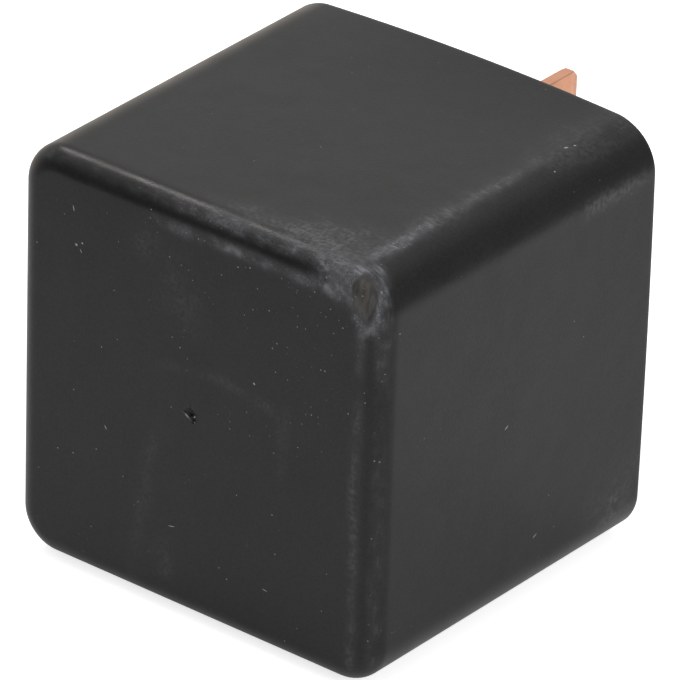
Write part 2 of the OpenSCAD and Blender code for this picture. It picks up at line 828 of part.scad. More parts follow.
cover();
base();
terminal_30();
terminal_85();
terminal_87();
terminal_87a();
yoke();
core();
bobbin();
coil_winding();
coil_link();
coil_lead_30();
coil_lead_85();
solder_joint_30();
solder_joint_85();
armature();
contact_spring();
armature_rivet_left();
armature_rivet_right();
spring_rivet_left();
spring_rivet_right();
moving_contact();
fixed_contact_87();
fixed_contact_87a();
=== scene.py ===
# %% [markdown]
# # An automotive mini relay
# A mini relay is a small cube that plugs into a car's fuse box. A black moulded cover is snapped over
# a base plate, four copper blades stand out of the base, and inside it a coil pulls a hinged armature
# that changes over one contact. This lesson dresses the packed parts: it gives each of them the finish
# of its real material, and remodels the three pieces whose surface carries the look, which are the
# cover, the wound wire and the bent contact spring.

# %% Load the frame
import json
import math

import bpy
import numpy as np
from mathutils import Matrix, Vector


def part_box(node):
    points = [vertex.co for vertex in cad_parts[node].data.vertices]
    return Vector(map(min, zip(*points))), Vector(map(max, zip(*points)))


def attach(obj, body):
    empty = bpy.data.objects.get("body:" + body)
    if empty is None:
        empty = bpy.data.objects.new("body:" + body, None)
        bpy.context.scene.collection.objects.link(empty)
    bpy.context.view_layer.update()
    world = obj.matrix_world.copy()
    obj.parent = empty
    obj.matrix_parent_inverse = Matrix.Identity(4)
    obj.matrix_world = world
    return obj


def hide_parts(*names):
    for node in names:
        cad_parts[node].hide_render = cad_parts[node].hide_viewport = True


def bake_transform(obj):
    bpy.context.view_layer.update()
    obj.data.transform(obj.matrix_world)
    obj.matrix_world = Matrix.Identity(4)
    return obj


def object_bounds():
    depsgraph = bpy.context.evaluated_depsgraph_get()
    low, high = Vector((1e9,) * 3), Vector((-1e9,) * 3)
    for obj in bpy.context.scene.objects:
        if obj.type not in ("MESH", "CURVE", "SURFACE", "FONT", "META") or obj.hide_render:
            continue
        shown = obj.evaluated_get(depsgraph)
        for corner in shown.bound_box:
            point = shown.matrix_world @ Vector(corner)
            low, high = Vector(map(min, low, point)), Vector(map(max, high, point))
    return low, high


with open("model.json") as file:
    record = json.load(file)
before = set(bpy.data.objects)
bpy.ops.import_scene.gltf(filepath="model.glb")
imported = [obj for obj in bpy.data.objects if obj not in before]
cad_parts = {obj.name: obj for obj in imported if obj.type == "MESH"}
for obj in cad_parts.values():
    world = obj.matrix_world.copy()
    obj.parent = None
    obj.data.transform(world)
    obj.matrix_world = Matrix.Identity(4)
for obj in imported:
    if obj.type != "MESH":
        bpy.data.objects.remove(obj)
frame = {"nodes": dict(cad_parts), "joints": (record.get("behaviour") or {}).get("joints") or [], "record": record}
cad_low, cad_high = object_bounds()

MM = 0.001
nodes = frame["nodes"]
print("loaded", len(nodes), "parts, from", [round(c / MM, 2) for c in cad_low], "mm to",
      [round(c / MM, 2) for c in cad_high], "mm")

# %% [markdown]
# ## How the relay lies
# The relay lies on one side. The blades point along +Y, the closed end of the cover looks along -Y,
# and Z is up. It is easier to describe a moulded cap while it stands on its open rim, so the cover's
# own sizes are written standing: across, deep, and height above the rim. One small function turns
# such points into the lying frame, the same turn that the parts were packed with.

# %% From standing to lying
def lying(points):
    """Standing (x, y, z) becomes lying (x, -z, y), for an array whose last axis holds the three."""
    return np.stack([points[..., 0], -points[..., 2], points[..., 1]], axis=-1)


cover_low, cover_high = (np.array(corner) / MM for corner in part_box("cover"))
cover_half = float(cover_high[0])
cover_length = float(-cover_low[1])
print("cover", round(2 * cover_half, 2), "mm wide and", round(cover_length, 2), "mm long")

# %% [markdown]
# ## The camera
# The relay is looked at from above its right front, with the closed end towards the lens. A long lens
# from less than half a metre keeps the three sets of edges nearly parallel, and a slight roll leans
# the whole block, as in a hand-held close-up. Azimuth, elevation and roll say this better than a
# matrix does, so the camera's axes are worked out from them.

# %% Camera
VIEW_AZIMUTH = math.radians(37.73)
VIEW_ELEVATION = math.radians(28.69)
VIEW_ROLL = math.radians(1.86)
VIEW_DISTANCE = 443.3 * MM
VIEW_LENS = 390.96
# How far beside and below the cover's middle the camera aims
AIM_RIGHT = 0.5 * MM
AIM_UP = -0.07 * MM


def view_axes(azimuth, elevation, roll):
    """Right, up and back of a camera at an azimuth from -Y and an elevation, rolled about its own axis."""
    back = Vector((math.sin(azimuth) * math.cos(elevation),
                   -math.cos(azimuth) * math.cos(elevation), math.sin(elevation)))
    level = Vector((math.cos(azimuth), math.sin(azimuth), 0))
    upright = back.cross(level)
    right = level * math.cos(roll) + upright * math.sin(roll)
    return right, back.cross(right), back


def add_camera():
    """A camera whose axes are the columns of its matrix, aimed just beside the cover's middle."""
    right, up, back = view_axes(VIEW_AZIMUTH, VIEW_ELEVATION, VIEW_ROLL)
    aim = Vector((0, -cover_length / 2 * MM, 0)) + right * AIM_RIGHT + up * AIM_UP
    data = bpy.data.cameras.new("product_camera")
    data.lens = VIEW_LENS
    data.sensor_width = 36
    data.clip_start = 0.01
    camera = bpy.data.objects.new("product_camera", data)
    axes = Matrix((right, up, back)).transposed()
    camera.matrix_world = Matrix.Translation(aim + back * VIEW_DISTANCE) @ axes.to_4x4()
    bpy.context.scene.collection.objects.link(camera)
    bpy.context.scene.camera = camera
    return camera


camera = add_camera()
bpy.context.scene.view_settings.view_transform = "Standard"
print("camera at", [round(c / MM, 1) for c in camera.location], "mm")

# %% [markdown]
# ## Meshes out of arrays
# Every new surface below is a grid of points: rows along one parameter, columns along the other.
# NumPy works out all the points at once, and one helper turns any such grid into a closed mesh. It
# lists the four corners of every cell, and where a grid ends in a pole it closes it with a fan.

# %% Grid helpers
def as_mesh(name, points, quads, fans=()):
    """A mesh object from an (n, 3) array in millimetres, an (m, 4) array of quads and (k, 3) triangles."""
    quads = np.asarray(quads, np.int32).reshape(-1, 4)
    fans = np.asarray(fans, np.int32).reshape(-1, 3)
    data = bpy.data.meshes.new(name)
    data.vertices.add(len(points))
    data.vertices.foreach_set("co", (np.asarray(points) * MM).astype(np.float32).ravel())
    corners = np.concatenate([quads.ravel(), fans.ravel()]).astype(np.int32)
    data.loops.add(len(corners))
    data.loops.foreach_set("vertex_index", corners)
    sizes = np.concatenate([np.full(len(quads), 4), np.full(len(fans), 3)]).astype(np.int32)
    starts = np.concatenate([[0], np.cumsum(sizes)[:-1]]).astype(np.int32)
    data.polygons.add(len(sizes))
    data.polygons.foreach_set("loop_start", starts)
    data.polygons.foreach_set("use_smooth", np.ones(len(sizes), bool))
    data.update(calc_edges=True)
    data.validate()
    piece = bpy.data.objects.new(name, data)
    bpy.context.scene.collection.objects.link(piece)
    return piece


def circle(turn):
    """Points (cos a, sin a) of the unit circle, one for each angle a."""
    return np.stack([np.cos(turn), np.sin(turn)], -1)


def ring_cells(rows, columns):
    """Corner numbers of every cell of a (rows, columns) grid whose columns close into a ring."""
    row, column = np.meshgrid(np.arange(rows - 1), np.arange(columns), indexing="ij")
    here = row * columns + column
    beside = row * columns + (column + 1) % columns
    return np.stack([here, here + columns, beside + columns, beside], axis=-1).reshape(-1, 4)


def ring_fan(pole, first, columns, outward):
    """Triangles from a pole's number to the ring that starts at first, turned either way round."""
    column = np.arange(columns)
    here, beside = first + column, first + (column + 1) % columns
    tip = np.full(columns, pole)
    order = (tip, here, beside) if outward else (tip, beside, here)
    return np.stack(order, axis=-1)


def crease(piece, degrees):
    """Edges that turn more than this many degrees stay sharp, and the rest shade smoothly."""
    piece.data.set_sharp_from_angle(angle=math.radians(degrees))
    return piece


def points_of(piece):
    """A mesh's points as an (n, 3) array in millimetres."""
    flat = np.empty(len(piece.data.vertices) * 3, np.float32)
    piece.data.vertices.foreach_get("co", flat)
    return flat.reshape(-1, 3).astype(float) / MM


def report(piece):
    """Prints a piece's triangles and its volume, the sum of det(a, b, c) / 6, which is above zero when all
    faces point outwards."""
    piece.data.calc_loop_triangles()
    corners = np.empty(len(piece.data.loop_triangles) * 3, np.int32)
    piece.data.loop_triangles.foreach_get("vertices", corners)
    triangles = points_of(piece)[corners].reshape(-1, 3, 3)
    volume = np.linalg.det(triangles).sum() / 6
    print(piece.name, len(triangles), "triangles,", round(float(volume), 2), "mm3")


print("a ring of 3 rows and 4 columns has", len(ring_cells(3, 4)), "cells")

# %% [markdown]
# ## Noise for wear
# Wear is never even. A lattice of random numbers, blended smoothly between its points, gives soft
# blotches of any size. It is made here in NumPy, because the wear is stored on the cover's points.

# %% Lattice noise
def lattice_noise(points, cell, seed):
    """Random values 0 to 1 at the corners of a lattice of that cell size, blended by 3t^2 - 2t^3."""
    place = points / cell
    corner = np.floor(place).astype(np.int64)
    share = place - corner
    share = share * share * (3 - 2 * share)
    total = np.zeros(points.shape[:-1])
    for step in np.ndindex(2, 2, 2):
        # Large odd numbers stir the corner's place and the seed into one key
        lattice = corner + np.array(step)
        key = lattice @ np.array([73856093, 19349663, 83492791]) + seed * 1640531513
        key = (key ^ (key >> 13)) * 1274126177
        value = ((key ^ (key >> 16)) & 0xFFFFFF) / 0xFFFFFF
        weight = np.prod(np.where(np.array(step) == 1, share, 1 - share), axis=-1)
        total += weight * value
    return total


def bump(distance, width):
    """A smooth hill: exp(-(distance / width)^2)."""
    return np.exp(-(distance / width) ** 2)


def ramp(value, low, high):
    """0 below low, 1 above high, and 3t^2 - 2t^3 between."""
    share = np.clip((value - low) / (high - low), 0, 1)
    return share * share * (3 - 2 * share)


print("a hill is", round(float(bump(1, 1)), 3), "high one width away from its top")

# %% [markdown]
# ## The cover's form
# A moulded cap leans inwards by half a degree, so that it leaves its mould. Its four long edges are
# rounded about axes that stand upright, so their radius shrinks by the same lean, and a small round
# runs about the closed end. That makes one rule for the whole cap: take a square through the axes of
# the four corners, and step outwards from it by a distance that depends only on the height. The
# outline gives the direction of each step, the half section gives its length, and together they
# cover wall, round, rim, socket and cavity in one closed grid.

# %% Cover sizes, in millimetres
DRAFT = math.radians(0.5)
EDGE_RADIUS = 3.0
RIM_RADIUS = 1.4
SOCKET_WALL = 1.25
BASE_LEDGE = 0.2
END_WALL = 1.3
INNER_RIM = 0.5
MOUTH_ROUND = 0.12
BASE_THICKNESS = float(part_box("base")[1][1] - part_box("base")[0][1]) / MM
CORNER_AXIS = cover_half - EDGE_RADIUS
# The snap grooves in the socket's side walls: height, radius, half length and depth
SNAP_HEIGHT = BASE_THICKNESS / 2
SNAP_GROOVE = 0.53
SNAP_HALF = 2.58
SNAP_DEPTH = 0.27
# How far the top and right walls bow at the mouth, and how far up and across the bow reaches
BOW_TOP = 0.36
BOW_RIGHT = 0.10
BOW_FADE = 10.0
BOW_HALF = 12.2
# The grid: columns along a side and round a corner, and rows down each stretch of the section
FLAT_COLUMNS = 68
CORNER_COLUMNS = 22
RIM_ROWS, WALL_ROWS, MOUTH_ROWS = 15, 98, 4
INNER_MOUTH_ROWS, SNAP_ROWS, INNER_RIM_ROWS = 3, 9, 5
columns = 4 * (FLAT_COLUMNS + CORNER_COLUMNS)
print("the cover's corner axes stand", round(CORNER_AXIS, 2), "mm from its middle, and its grid has", columns,
      "columns")


# %% The cover's outline and half section
def square_outline():
    """Feet on the square through the corner axes, and unit steps outwards, once round from the +X side.
    Along a side the foot moves and the step stays. At a corner the foot stays and the step turns."""
    feet, steps = [], []
    along = np.linspace(-1, 1, FLAT_COLUMNS, endpoint=False) * CORNER_AXIS
    turn = np.linspace(0, math.pi / 2, CORNER_COLUMNS, endpoint=False)
    for quarter in range(4):
        angle = quarter * math.pi / 2
        across, side = circle(angle), circle(angle + math.pi / 2)
        feet.append(across * CORNER_AXIS + along[:, None] * side)
        steps.append(np.tile(across, (FLAT_COLUMNS, 1)))
        feet.append(np.tile((across + side) * CORNER_AXIS, (CORNER_COLUMNS, 1)))
        steps.append(circle(turn + angle))
    return np.concatenate(feet), np.concatenate(steps)


def arc(reach, height, radius, first, last, rows):
    """A round in the section: (reach + radius cos a, height + radius sin a), where a runs first to last."""
    return np.array([reach, height]) + radius * circle(np.linspace(first, last, rows))


def rim_axis(wall, top, radius):
    """Reach of the axis of a round that touches a flat top and the wall that leans in from its reach at
    height 0: wall - (radius + (top - radius) sin DRAFT) / cos DRAFT."""
    return wall - (radius + (top - radius) * math.sin(DRAFT)) / math.cos(DRAFT)


def outer_section():
    """Reach and height from the closed face's edge, round the rim, down the leaning wall to the mouth."""
    rim = arc(rim_axis(EDGE_RADIUS, cover_length, RIM_RADIUS), cover_length - RIM_RADIUS, RIM_RADIUS,
              math.pi / 2, DRAFT, RIM_ROWS)
    heights = np.linspace(rim[-1, 1], MOUTH_ROUND, WALL_ROWS)[1:]
    wall = np.stack([EDGE_RADIUS - heights * math.tan(DRAFT), heights], -1)
    mouth = arc(wall[-1, 0] - MOUTH_ROUND, MOUTH_ROUND, MOUTH_ROUND, 0, -math.pi / 2, MOUTH_ROWS)
    return np.concatenate([rim, wall, mouth[1:]])


def inner_section():
    """Reach and height from the mouth up the socket, over its ledge, up the cavity to the ceiling's edge."""
    socket = EDGE_RADIUS - SOCKET_WALL
    cavity = socket - BASE_LEDGE
    ceiling = cover_length - END_WALL
    mouth = arc(socket + MOUTH_ROUND, MOUTH_ROUND, MOUTH_ROUND, -math.pi / 2, -math.pi, INNER_MOUTH_ROWS)
    snap = SNAP_HEIGHT + np.linspace(-SNAP_GROOVE, SNAP_GROOVE, SNAP_ROWS)
    wall = np.stack([np.full(SNAP_ROWS, socket), snap], -1)
    ledge = [[socket, BASE_THICKNESS], [cavity - BASE_THICKNESS * math.tan(DRAFT), BASE_THICKNESS]]
    rim = arc(rim_axis(cavity, ceiling, INNER_RIM), ceiling - INNER_RIM, INNER_RIM,
              DRAFT, math.pi / 2, INNER_RIM_ROWS)
    return np.concatenate([mouth, wall, ledge, rim])


print("the half section has", len(outer_section()), "rows outside and", len(inner_section()), "inside")

# %% [markdown]
# ## The closed face and its gate
# Molten plastic enters the mould at one point, the gate, here in the middle of the closed face. When
# the part is pulled off, the frozen plug tears away and leaves a small ragged scar. The face is made
# of rings that shrink towards the gate, and they turn from rounded squares into circles on the way,
# so the scar has the fine mesh that its torn lips need while the rest of the face stays light.

# %% The face rings and the torn gate
GATE = np.array([-0.2, 0.1])
# Each torn lip or hole: place across and up from the gate, length, width, height and lean in degrees
TORN = [
    (-0.26, -0.16, 0.30, 0.085, 0.13, -28),
    (0.05, 0.18, 0.34, 0.060, 0.10, -48),
    (0.22, -0.06, 0.16, 0.050, 0.10, 62),
    (0.24, -0.36, 0.08, 0.080, 0.11, 0),
    (-0.12, -0.06, 0.20, 0.120, -0.24, -40),
    (0.08, 0.00, 0.26, 0.080, -0.26, -62),
    (0.10, -0.38, 0.09, 0.090, -0.20, 0),
    (-0.22, 0.28, 0.16, 0.090, -0.10, 40),
]
# Rings: the fine ones round the gate and their step as a share of the way out, the wide ones, the ceiling's
FINE_RINGS = 20
FINE_STEP = 0.004
WIDE_RINGS = 44
CEILING_RINGS = 7
# The share of the way out at which the rings begin to turn into circles, and how quickly they do
CIRCLE_FROM = 0.9
CIRCLE_POWER = 1.5


def torn_height(face):
    """Height of the scar at (x, z) about the gate: a sum of long smooth hills and holes, each turned."""
    height = np.zeros(face.shape[:-1])
    for across, up, length, width, rise, lean in TORN:
        angle = math.radians(lean)
        away = face - np.array([across, up])
        along = away[..., 0] * math.cos(angle) + away[..., 1] * math.sin(angle)
        beside = -away[..., 0] * math.sin(angle) + away[..., 1] * math.cos(angle)
        height += rise * bump(along, length) * bump(beside, width)
    return height


def face_rings(edge, top):
    """Rings from the gate out to the face's edge. A share s of the way out, the reach is s times a blend
    of the square's own reach and the circle's, which wins near the gate."""
    fine = np.arange(1, FINE_RINGS + 1) * FINE_STEP
    shares = np.concatenate([fine, np.linspace(fine[-1], 1, WIDE_RINGS + 2)[1:-1]])
    away = edge - GATE
    reach = np.linalg.norm(away, axis=-1)
    rounded = np.clip(1 - shares / CIRCLE_FROM, 0, 1)[:, None] ** CIRCLE_POWER
    radius = shares[:, None] * (rounded * reach.min() + (1 - rounded) * reach)
    flat = GATE + away / reach[:, None] * radius[..., None]
    height = top + torn_height(flat - GATE)
    return np.concatenate([flat, height[..., None]], -1)


print("the scar rises", round(float(max(row[4] for row in TORN)), 2), "mm and sinks",
      round(float(-min(row[4] for row in TORN)), 2), "mm")

# %% [markdown]
# ## The whole cover
# Outline and section give every wall at once: a foot, plus the section's reach times the outline's
# step. Two things then break the plain form. The socket has a snap groove on each side, and the long
# thin walls bow a little near the mouth, where nothing ties them. One closed grid takes it all.

# %% The cover in one grid
def snap_reach(feet, steps, section, first):
    """How far the socket steps out for the snap grooves: the arc sqrt(groove^2 - h^2) of a circle about
    each groove's axis, as far as it passes the wall. first is the number of the socket's first row."""
    row = np.arange(len(section))[:, None]
    in_socket = (row >= first) & (row < first + SNAP_ROWS)
    off = np.clip(SNAP_GROOVE ** 2 - (section[:, 1:] - SNAP_HEIGHT) ** 2, 0, None)
    deep = np.clip(np.sqrt(off) - (SNAP_GROOVE - SNAP_DEPTH), 0, None)
    beside = (np.abs(steps[:, 0]) > 0.999) & (np.abs(feet[:, 1]) < SNAP_HALF)
    return np.where(in_socket & beside, deep * np.sign(steps[:, 0]), 0)


def bowed(walls):
    """Pushes the walls out near the mouth by rise (1 - (across / half)^2) (1 - height / fade)^2."""
    x, y, height = walls[..., 0], walls[..., 1], walls[..., 2]
    fade = np.clip(1 - height / BOW_FADE, 0, 1) ** 2
    top = np.clip(1 - (x / BOW_HALF) ** 2, 0, 1) * fade * (y > CORNER_AXIS)
    right = np.clip(1 - (y / BOW_HALF) ** 2, 0, 1) * fade * (x > CORNER_AXIS)
    return walls + np.stack([right * BOW_RIGHT, top * BOW_TOP, np.zeros(x.shape)], -1)


def cover_points():
    """The cover's grids, standing: face rings, all walls from rim to ceiling, and ceiling rings."""
    feet, steps = square_outline()
    outer = outer_section()
    section = np.concatenate([outer, inner_section()])
    flat = feet + section[:, None, :1] * steps
    height = np.broadcast_to(section[:, None, 1:], flat.shape[:-1] + (1,))
    walls = np.concatenate([flat, height], -1)
    walls[..., 0] += snap_reach(feet, steps, section, len(outer) + INNER_MOUTH_ROWS)
    walls = bowed(walls)
    face = face_rings(walls[0, :, :2], cover_length)
    ceiling = walls[-1] * np.linspace(1, 0, CEILING_RINGS + 2)[1:-1, None, None]
    ceiling[..., 2] = walls[-1, 0, 2]
    return face, walls, ceiling


def build_cover():
    """Joins the grids into one closed mesh with a fan at each pole."""
    rows = np.concatenate(cover_points())
    count = rows.shape[0] * columns
    gate_point = np.array([[*GATE, cover_length + float(torn_height(np.zeros(2)))]])
    ceiling_point = np.array([[0, 0, rows[-1, 0, 2]]])
    points = np.concatenate([rows.reshape(-1, 3), gate_point, ceiling_point])
    quads = ring_cells(rows.shape[0], columns)
    fans = np.concatenate([ring_fan(count, 0, columns, True),
                           ring_fan(count + 1, count - columns, columns, False)])
    piece = as_mesh("cover_shell", lying(points), quads, fans)
    return crease(piece, 40)


cover = build_cover()
report(cover)

# %% [markdown]
# ## Where the cover is worn, and where sheen is painted
# The cover has been handled. Its closed end rubs against things first, so the edges round that end
# carry fine pale scuffs, thickest at the corner that sticks out most, where the plastic is rubbed
# flat. These marks follow the form, so they are stored on the mesh as point attributes: how scuffed
# each point is, how rubbed, how hazy, how dusty and how torn. Some of the haze is a painted sheen, and
# the pale of the torn lips is partly a painted highlight. The material then breaks them into grains.

# %% Where each mark lies
# The closed face's place along Y, and the proud corner's rubbed spot: its centre, its half sizes, and how
# far it leans towards +X on its way down
FACE = -cover_length
RUB_CENTRE = np.array([12.15, -25.45, 12.15])
RUB_SIZE = np.array([0.76, 1.30, 1.42])
RUB_LEAN = 0.16
# Marks that fade out round a middle: middle, half sizes and strength. The last table is for faint ghosts
# on the closed face, where the plastic's flow met the wall
SCUFF_MARKS = [
    ((10.4, -25.6, 12.5), (1.5, 0.8, 0.85), 1.5),
    ((10.9, -25.0, 13.4), (2.6, 0.7, 0.8), 0.8),
]
# The first three haze marks are fine rubbing on the top face. The last three are a painted sheen: they lighten the
# far end of the long edge and the right face's low far corner.
HAZE_AND_SHEEN_MARKS = [
    ((5.6, -24.0, 13.8), (3.6, 0.8, 0.5), 1.4),
    ((8.6, -22.3, 13.8), (2.2, 1.2, 0.5), 0.8),
    ((11.0, -17.0, 13.8), (0.9, 7.0, 0.7), 0.35),
    ((11.2, -3.4, 13.7), (1.5, 4.2, 0.8), 0.40),
    ((14.0, -2.2, -10.6), (0.6, 2.2, 2.0), 0.6),
    ((14.0, -4.2, 11.1), (0.9, 3.2, 0.5), 0.8),
]
GHOST_MARKS = [
    ((-2.2, FACE, -10.6), (0.8, 0.6, 1.6), 0.55),
    ((-1.2, FACE, 8.0), (1.6, 0.6, 2.6), 0.4),
    ((-3.9, FACE, 10.3), (1.1, 0.6, 0.9), 0.45),
]
GHOST_SHARE = 0.5


def marks(points, table):
    """The sum of strength times exp(-r^2), with r measured in half sizes from each mark's middle."""
    total = np.zeros(len(points))
    for middle, half, strength in table:
        total += strength * np.exp(-(((points - np.array(middle)) / np.array(half)) ** 2).sum(-1))
    return total


def rub_distance(p):
    """Distance from the leaning centre line of the rubbed spot, where 1 is its edge."""
    away = p - RUB_CENTRE
    away[:, 0] += RUB_LEAN * away[:, 2]
    return np.linalg.norm(away / RUB_SIZE, axis=-1)


print("the wear has", len(SCUFF_MARKS) + len(HAZE_AND_SHEEN_MARKS) + len(GHOST_MARKS), "marks with a middle")


# %% Scuffs and the rubbed spot
def scuff_map(p):
    """Pale grain along the rims of the closed end and round the proud corner, 0 to 1. A band is a hill
    across its edge times a share that changes along it, and blotches break up all of them."""
    x, y, z = p.T
    blotch = ramp(lattice_noise(p, 1.3, 3) * 0.55 + lattice_noise(p, 0.45, 5) * 0.45, 0.25, 0.75)
    inset = np.maximum(np.abs(x), np.abs(z))
    top_share = ramp(z, 11, 13) * (0.08 + 0.52 * ramp(x, -6, 1) + 0.40 * ramp(x, 4, 11))
    right_share = ramp(x, 11, 13) * (0.03 + 0.40 * bump(z - 10, 3.5))
    # The rim's own band, and one just inside it on the closed face
    rim_band = bump(y - FACE - 0.5, 0.40) * ramp(inset, 12.8, 13.2) * 0.75
    band = rim_band * np.maximum(np.maximum(top_share, right_share), 0.16)
    face_band = bump(inset - 12.05, 0.35) * ramp(-y, 25.5, 25.78) * ramp(x, -5, 0) * 1.1
    band = band + face_band * np.maximum(0.62 * ramp(z, 11, 12), right_share)
    # The long edge between top and right, strongest a little way back from the corner
    edge = bump(np.hypot(x - 11.2, z - 13.87), 0.38)
    side = edge * (1.8 * bump(-y - 20.7, 2.2) + 0.40 * ramp(-y, 4, 12))
    ring = bump(rub_distance(p) - 1.25, 0.24) * 0.95 * ramp(x, 10.8, 11.8)
    return np.clip((band + side + ring + marks(p, SCUFF_MARKS)) * (0.30 + 1.20 * blotch), 0, 1)


def rubbed_map(p):
    """The smooth worn spot on the proud corner, longer downwards than across, 0 to 1."""
    edge = rub_distance(p) + 0.50 * (lattice_noise(p, 0.40, 11) - 0.5)
    return 1 - ramp(edge, 0.74, 1.12)


print("the rubbed spot's centre is worn by", round(float(rubbed_map(RUB_CENTRE[None])[0]), 2))


# %% Haze, dust and torn lips
def haze_map(p):
    """Broad pale patches of fine rubbing, a painted sheen from the last haze marks, and on the closed face the
    ghosts of the flow, 0 to 1.
    """
    x, y, z = p.T
    blotch = ramp(lattice_noise(p, 1.9, 17) * 0.5 + lattice_noise(p, 0.6, 19) * 0.5, 0.2, 0.8)
    # The flow's front: an arc above the gate that falls off on its right, and a line below it on its left
    crest = 3.2 - 0.035 * (x - 1.5) ** 2
    crown = bump(z - crest, 0.35) * ramp(x, -3.5, -1) * (1 - ramp(x, 5.5, 7.0)) * 0.45
    fall = bump(x - (6.6 + 0.05 * z), 0.4) * ramp(z, -2.5, 0) * (1 - ramp(z, 2.5, 3.6)) * 0.6
    left = bump(x + 3.4 - 0.14 * (z + 4), 0.55) * ramp(-z, 0.5, 3) * 0.26
    # A band of fine rubbing down the face's right edge
    edge = bump(x - 12.1 + 0.25 * bump(z, 3), 0.32) * ramp(6.5 - z, 0, 2) * 0.8
    ghosts = ramp(-y, 25.6, 25.79) * (crown + fall + left + edge + marks(p, GHOST_MARKS)) * GHOST_SHARE
    # The haze marks hold both fine rubbing and a painted sheen.
    return np.clip((marks(p, HAZE_AND_SHEEN_MARKS) + ghosts) * (0.3 + 1.3 * blotch), 0, 1)


def speck_map(p):
    """Share of the possible dust specks that is there: many on the closed face, few elsewhere, 0 to 1."""
    x, y, z = p.T
    cloud = ramp(lattice_noise(p, 5.0, 23), 0.25, 0.8)
    on_face = ramp(-y, 25.2, 25.7)
    upper = ramp(z, -1.5, 5) * ramp(x, -9, 2)
    return np.clip(0.06 + 0.08 * cloud + on_face * (0.01 + (0.55 + 0.60 * cloud) * upper), 0, 1)


# The height in millimetres from which a torn lip counts in full
TORN_FULL = 0.12


def torn_map(p):
    """How far the torn lips at the gate stand out, where 1 is TORN_FULL millimetres and more. It sets where the
    lips are painted pale, for stress whitening and a painted highlight.
    """
    lips = torn_height(p[:, [0, 2]] - GATE) * ramp(-p[:, 1], 25, 25.5)
    return np.clip(lips / TORN_FULL, 0, 1)


print("the closed face's middle holds", round(float(speck_map(np.array([[0, FACE, 0]]))[0]), 2),
      "of its possible specks")


# %% Store the wear and the painted sheen on the cover, one number per point
WEAR_AND_SHEEN_MAPS = {"scuff": scuff_map, "rubbed": rubbed_map, "haze": haze_map, "specks": speck_map,
             "torn": torn_map}
cover_at = points_of(cover)
for name, mark_map in WEAR_AND_SHEEN_MAPS.items():
    values = mark_map(cover_at)
    attribute = cover.data.attributes.new(name, "FLOAT", "POINT")
    attribute.data.foreach_set("value", values.astype(np.float32))
    print(name, "covers", round(100 * float((values > 0.2).mean()), 1), "% of the points")

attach(cover, "root")
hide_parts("cover")

# %% [markdown]
# ## The wound coil
# Some thousand turns of enamelled wire fill the bobbin. Only the outer layer shows, so the coil is one
# closed ring whose outer wall is ribbed: one rib for each turn. A rib is a half round, and it climbs
# by one pitch each time round, because the wire is one long helix. Writing the radius as a function of
# height and angle gives that on a plain grid, with no need to sweep a real wire a thousand times.

# %% Winding
WIRE = 0.16
ROWS_PER_TURN = 8
WINDING_COLUMNS = 80
BOBBIN_TUBE_RADIUS = 4.52


def winding_rows():
    """Rows of standing points: up the ribbed outer wall, then down the bobbin's tube. The outer radius is
    R - (WIRE / 2) (1 - sqrt(1 - u^2)), where u runs from -1 to 1 across each turn of the helix."""
    low, high = (np.array(corner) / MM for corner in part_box("coil_winding"))
    outer = (high[0] - low[0]) / 2
    middle = (high[2] + low[2]) / 2
    turn = np.linspace(0, 2 * math.pi, WINDING_COLUMNS, endpoint=False)
    count = int((high[1] - low[1]) / WIRE * ROWS_PER_TURN)
    height = np.linspace(-high[1], -low[1], count)[:, None] * np.ones(WINDING_COLUMNS)
    share = (height / WIRE + turn / (2 * math.pi)) % 1
    radius = outer - WIRE / 2 * (1 - np.sqrt(1 - (2 * share - 1) ** 2))
    tube = np.array([-low[1], -high[1]])[:, None] * np.ones(WINDING_COLUMNS)
    height = np.concatenate([height, tube])
    radius = np.concatenate([radius, np.full(tube.shape, BOBBIN_TUBE_RADIUS)])
    return np.stack([radius * np.cos(turn), middle + radius * np.sin(turn), height], -1)


def build_winding():
    """The rows close into a ring both ways, so the first row is used again after the last."""
    rows = winding_rows()
    quads = ring_cells(len(rows) + 1, WINDING_COLUMNS)[:, ::-1] % (len(rows) * WINDING_COLUMNS)
    return crease(as_mesh("wire_winding", lying(rows.reshape(-1, 3)), quads), 60)


winding = build_winding()
report(winding)
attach(winding, "root")
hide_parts("coil_winding")

# %% [markdown]
# ## The contact spring
# One strip of spring bronze does three jobs. Its leg is riveted to the frame's back, its bend pulls the
# armature open, and its arm carries the moving contact. When the armature swings, the leg stays and
# the arm goes, so the strip has to bend. Here it is a narrow ring of points, the strip's own section,
# carried along the leg, round the bend and out along the arm.

# %% Contact spring sizes, in millimetres
hinge = frame["joints"][0]
# The hinge's axis as standing (y, z), and how far the armature swings about it
PIVOT = np.array([hinge["pos_m"][2], -hinge["pos_m"][1]]) / MM
TRAVEL = math.radians(hinge["range_deg"][1])
# The frame's rounded edge under the armature, the gap between them, and the armature's own thickness
KNIFE_RADIUS = 0.5
PULL_IN_GAP = 0.05
ARMATURE_THICKNESS = 1.6
# The strip: thickness, edge round, inner radius of the bend, radius of the tip, length of the neck
SPRING_THICKNESS = 0.25
SPRING_EDGE = 0.06
SPRING_BEND = 0.4
SPRING_END = 2.1
SPRING_NECK = 2.0
# Rows along the leg, the bend, the arm, its neck and its tip
LEG_ROWS, BEND_ROWS, ARM_ROWS, NECK_ROWS, TIP_ROWS = 24, 16, 30, 12, 14
spring_low, spring_high = (np.array(corner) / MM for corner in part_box("contact_spring"))
spring_half = float(spring_high[0])
print("the strip is", round(2 * spring_half, 2), "mm wide, and the armature swings",
      round(math.degrees(TRAVEL), 2), "degrees")


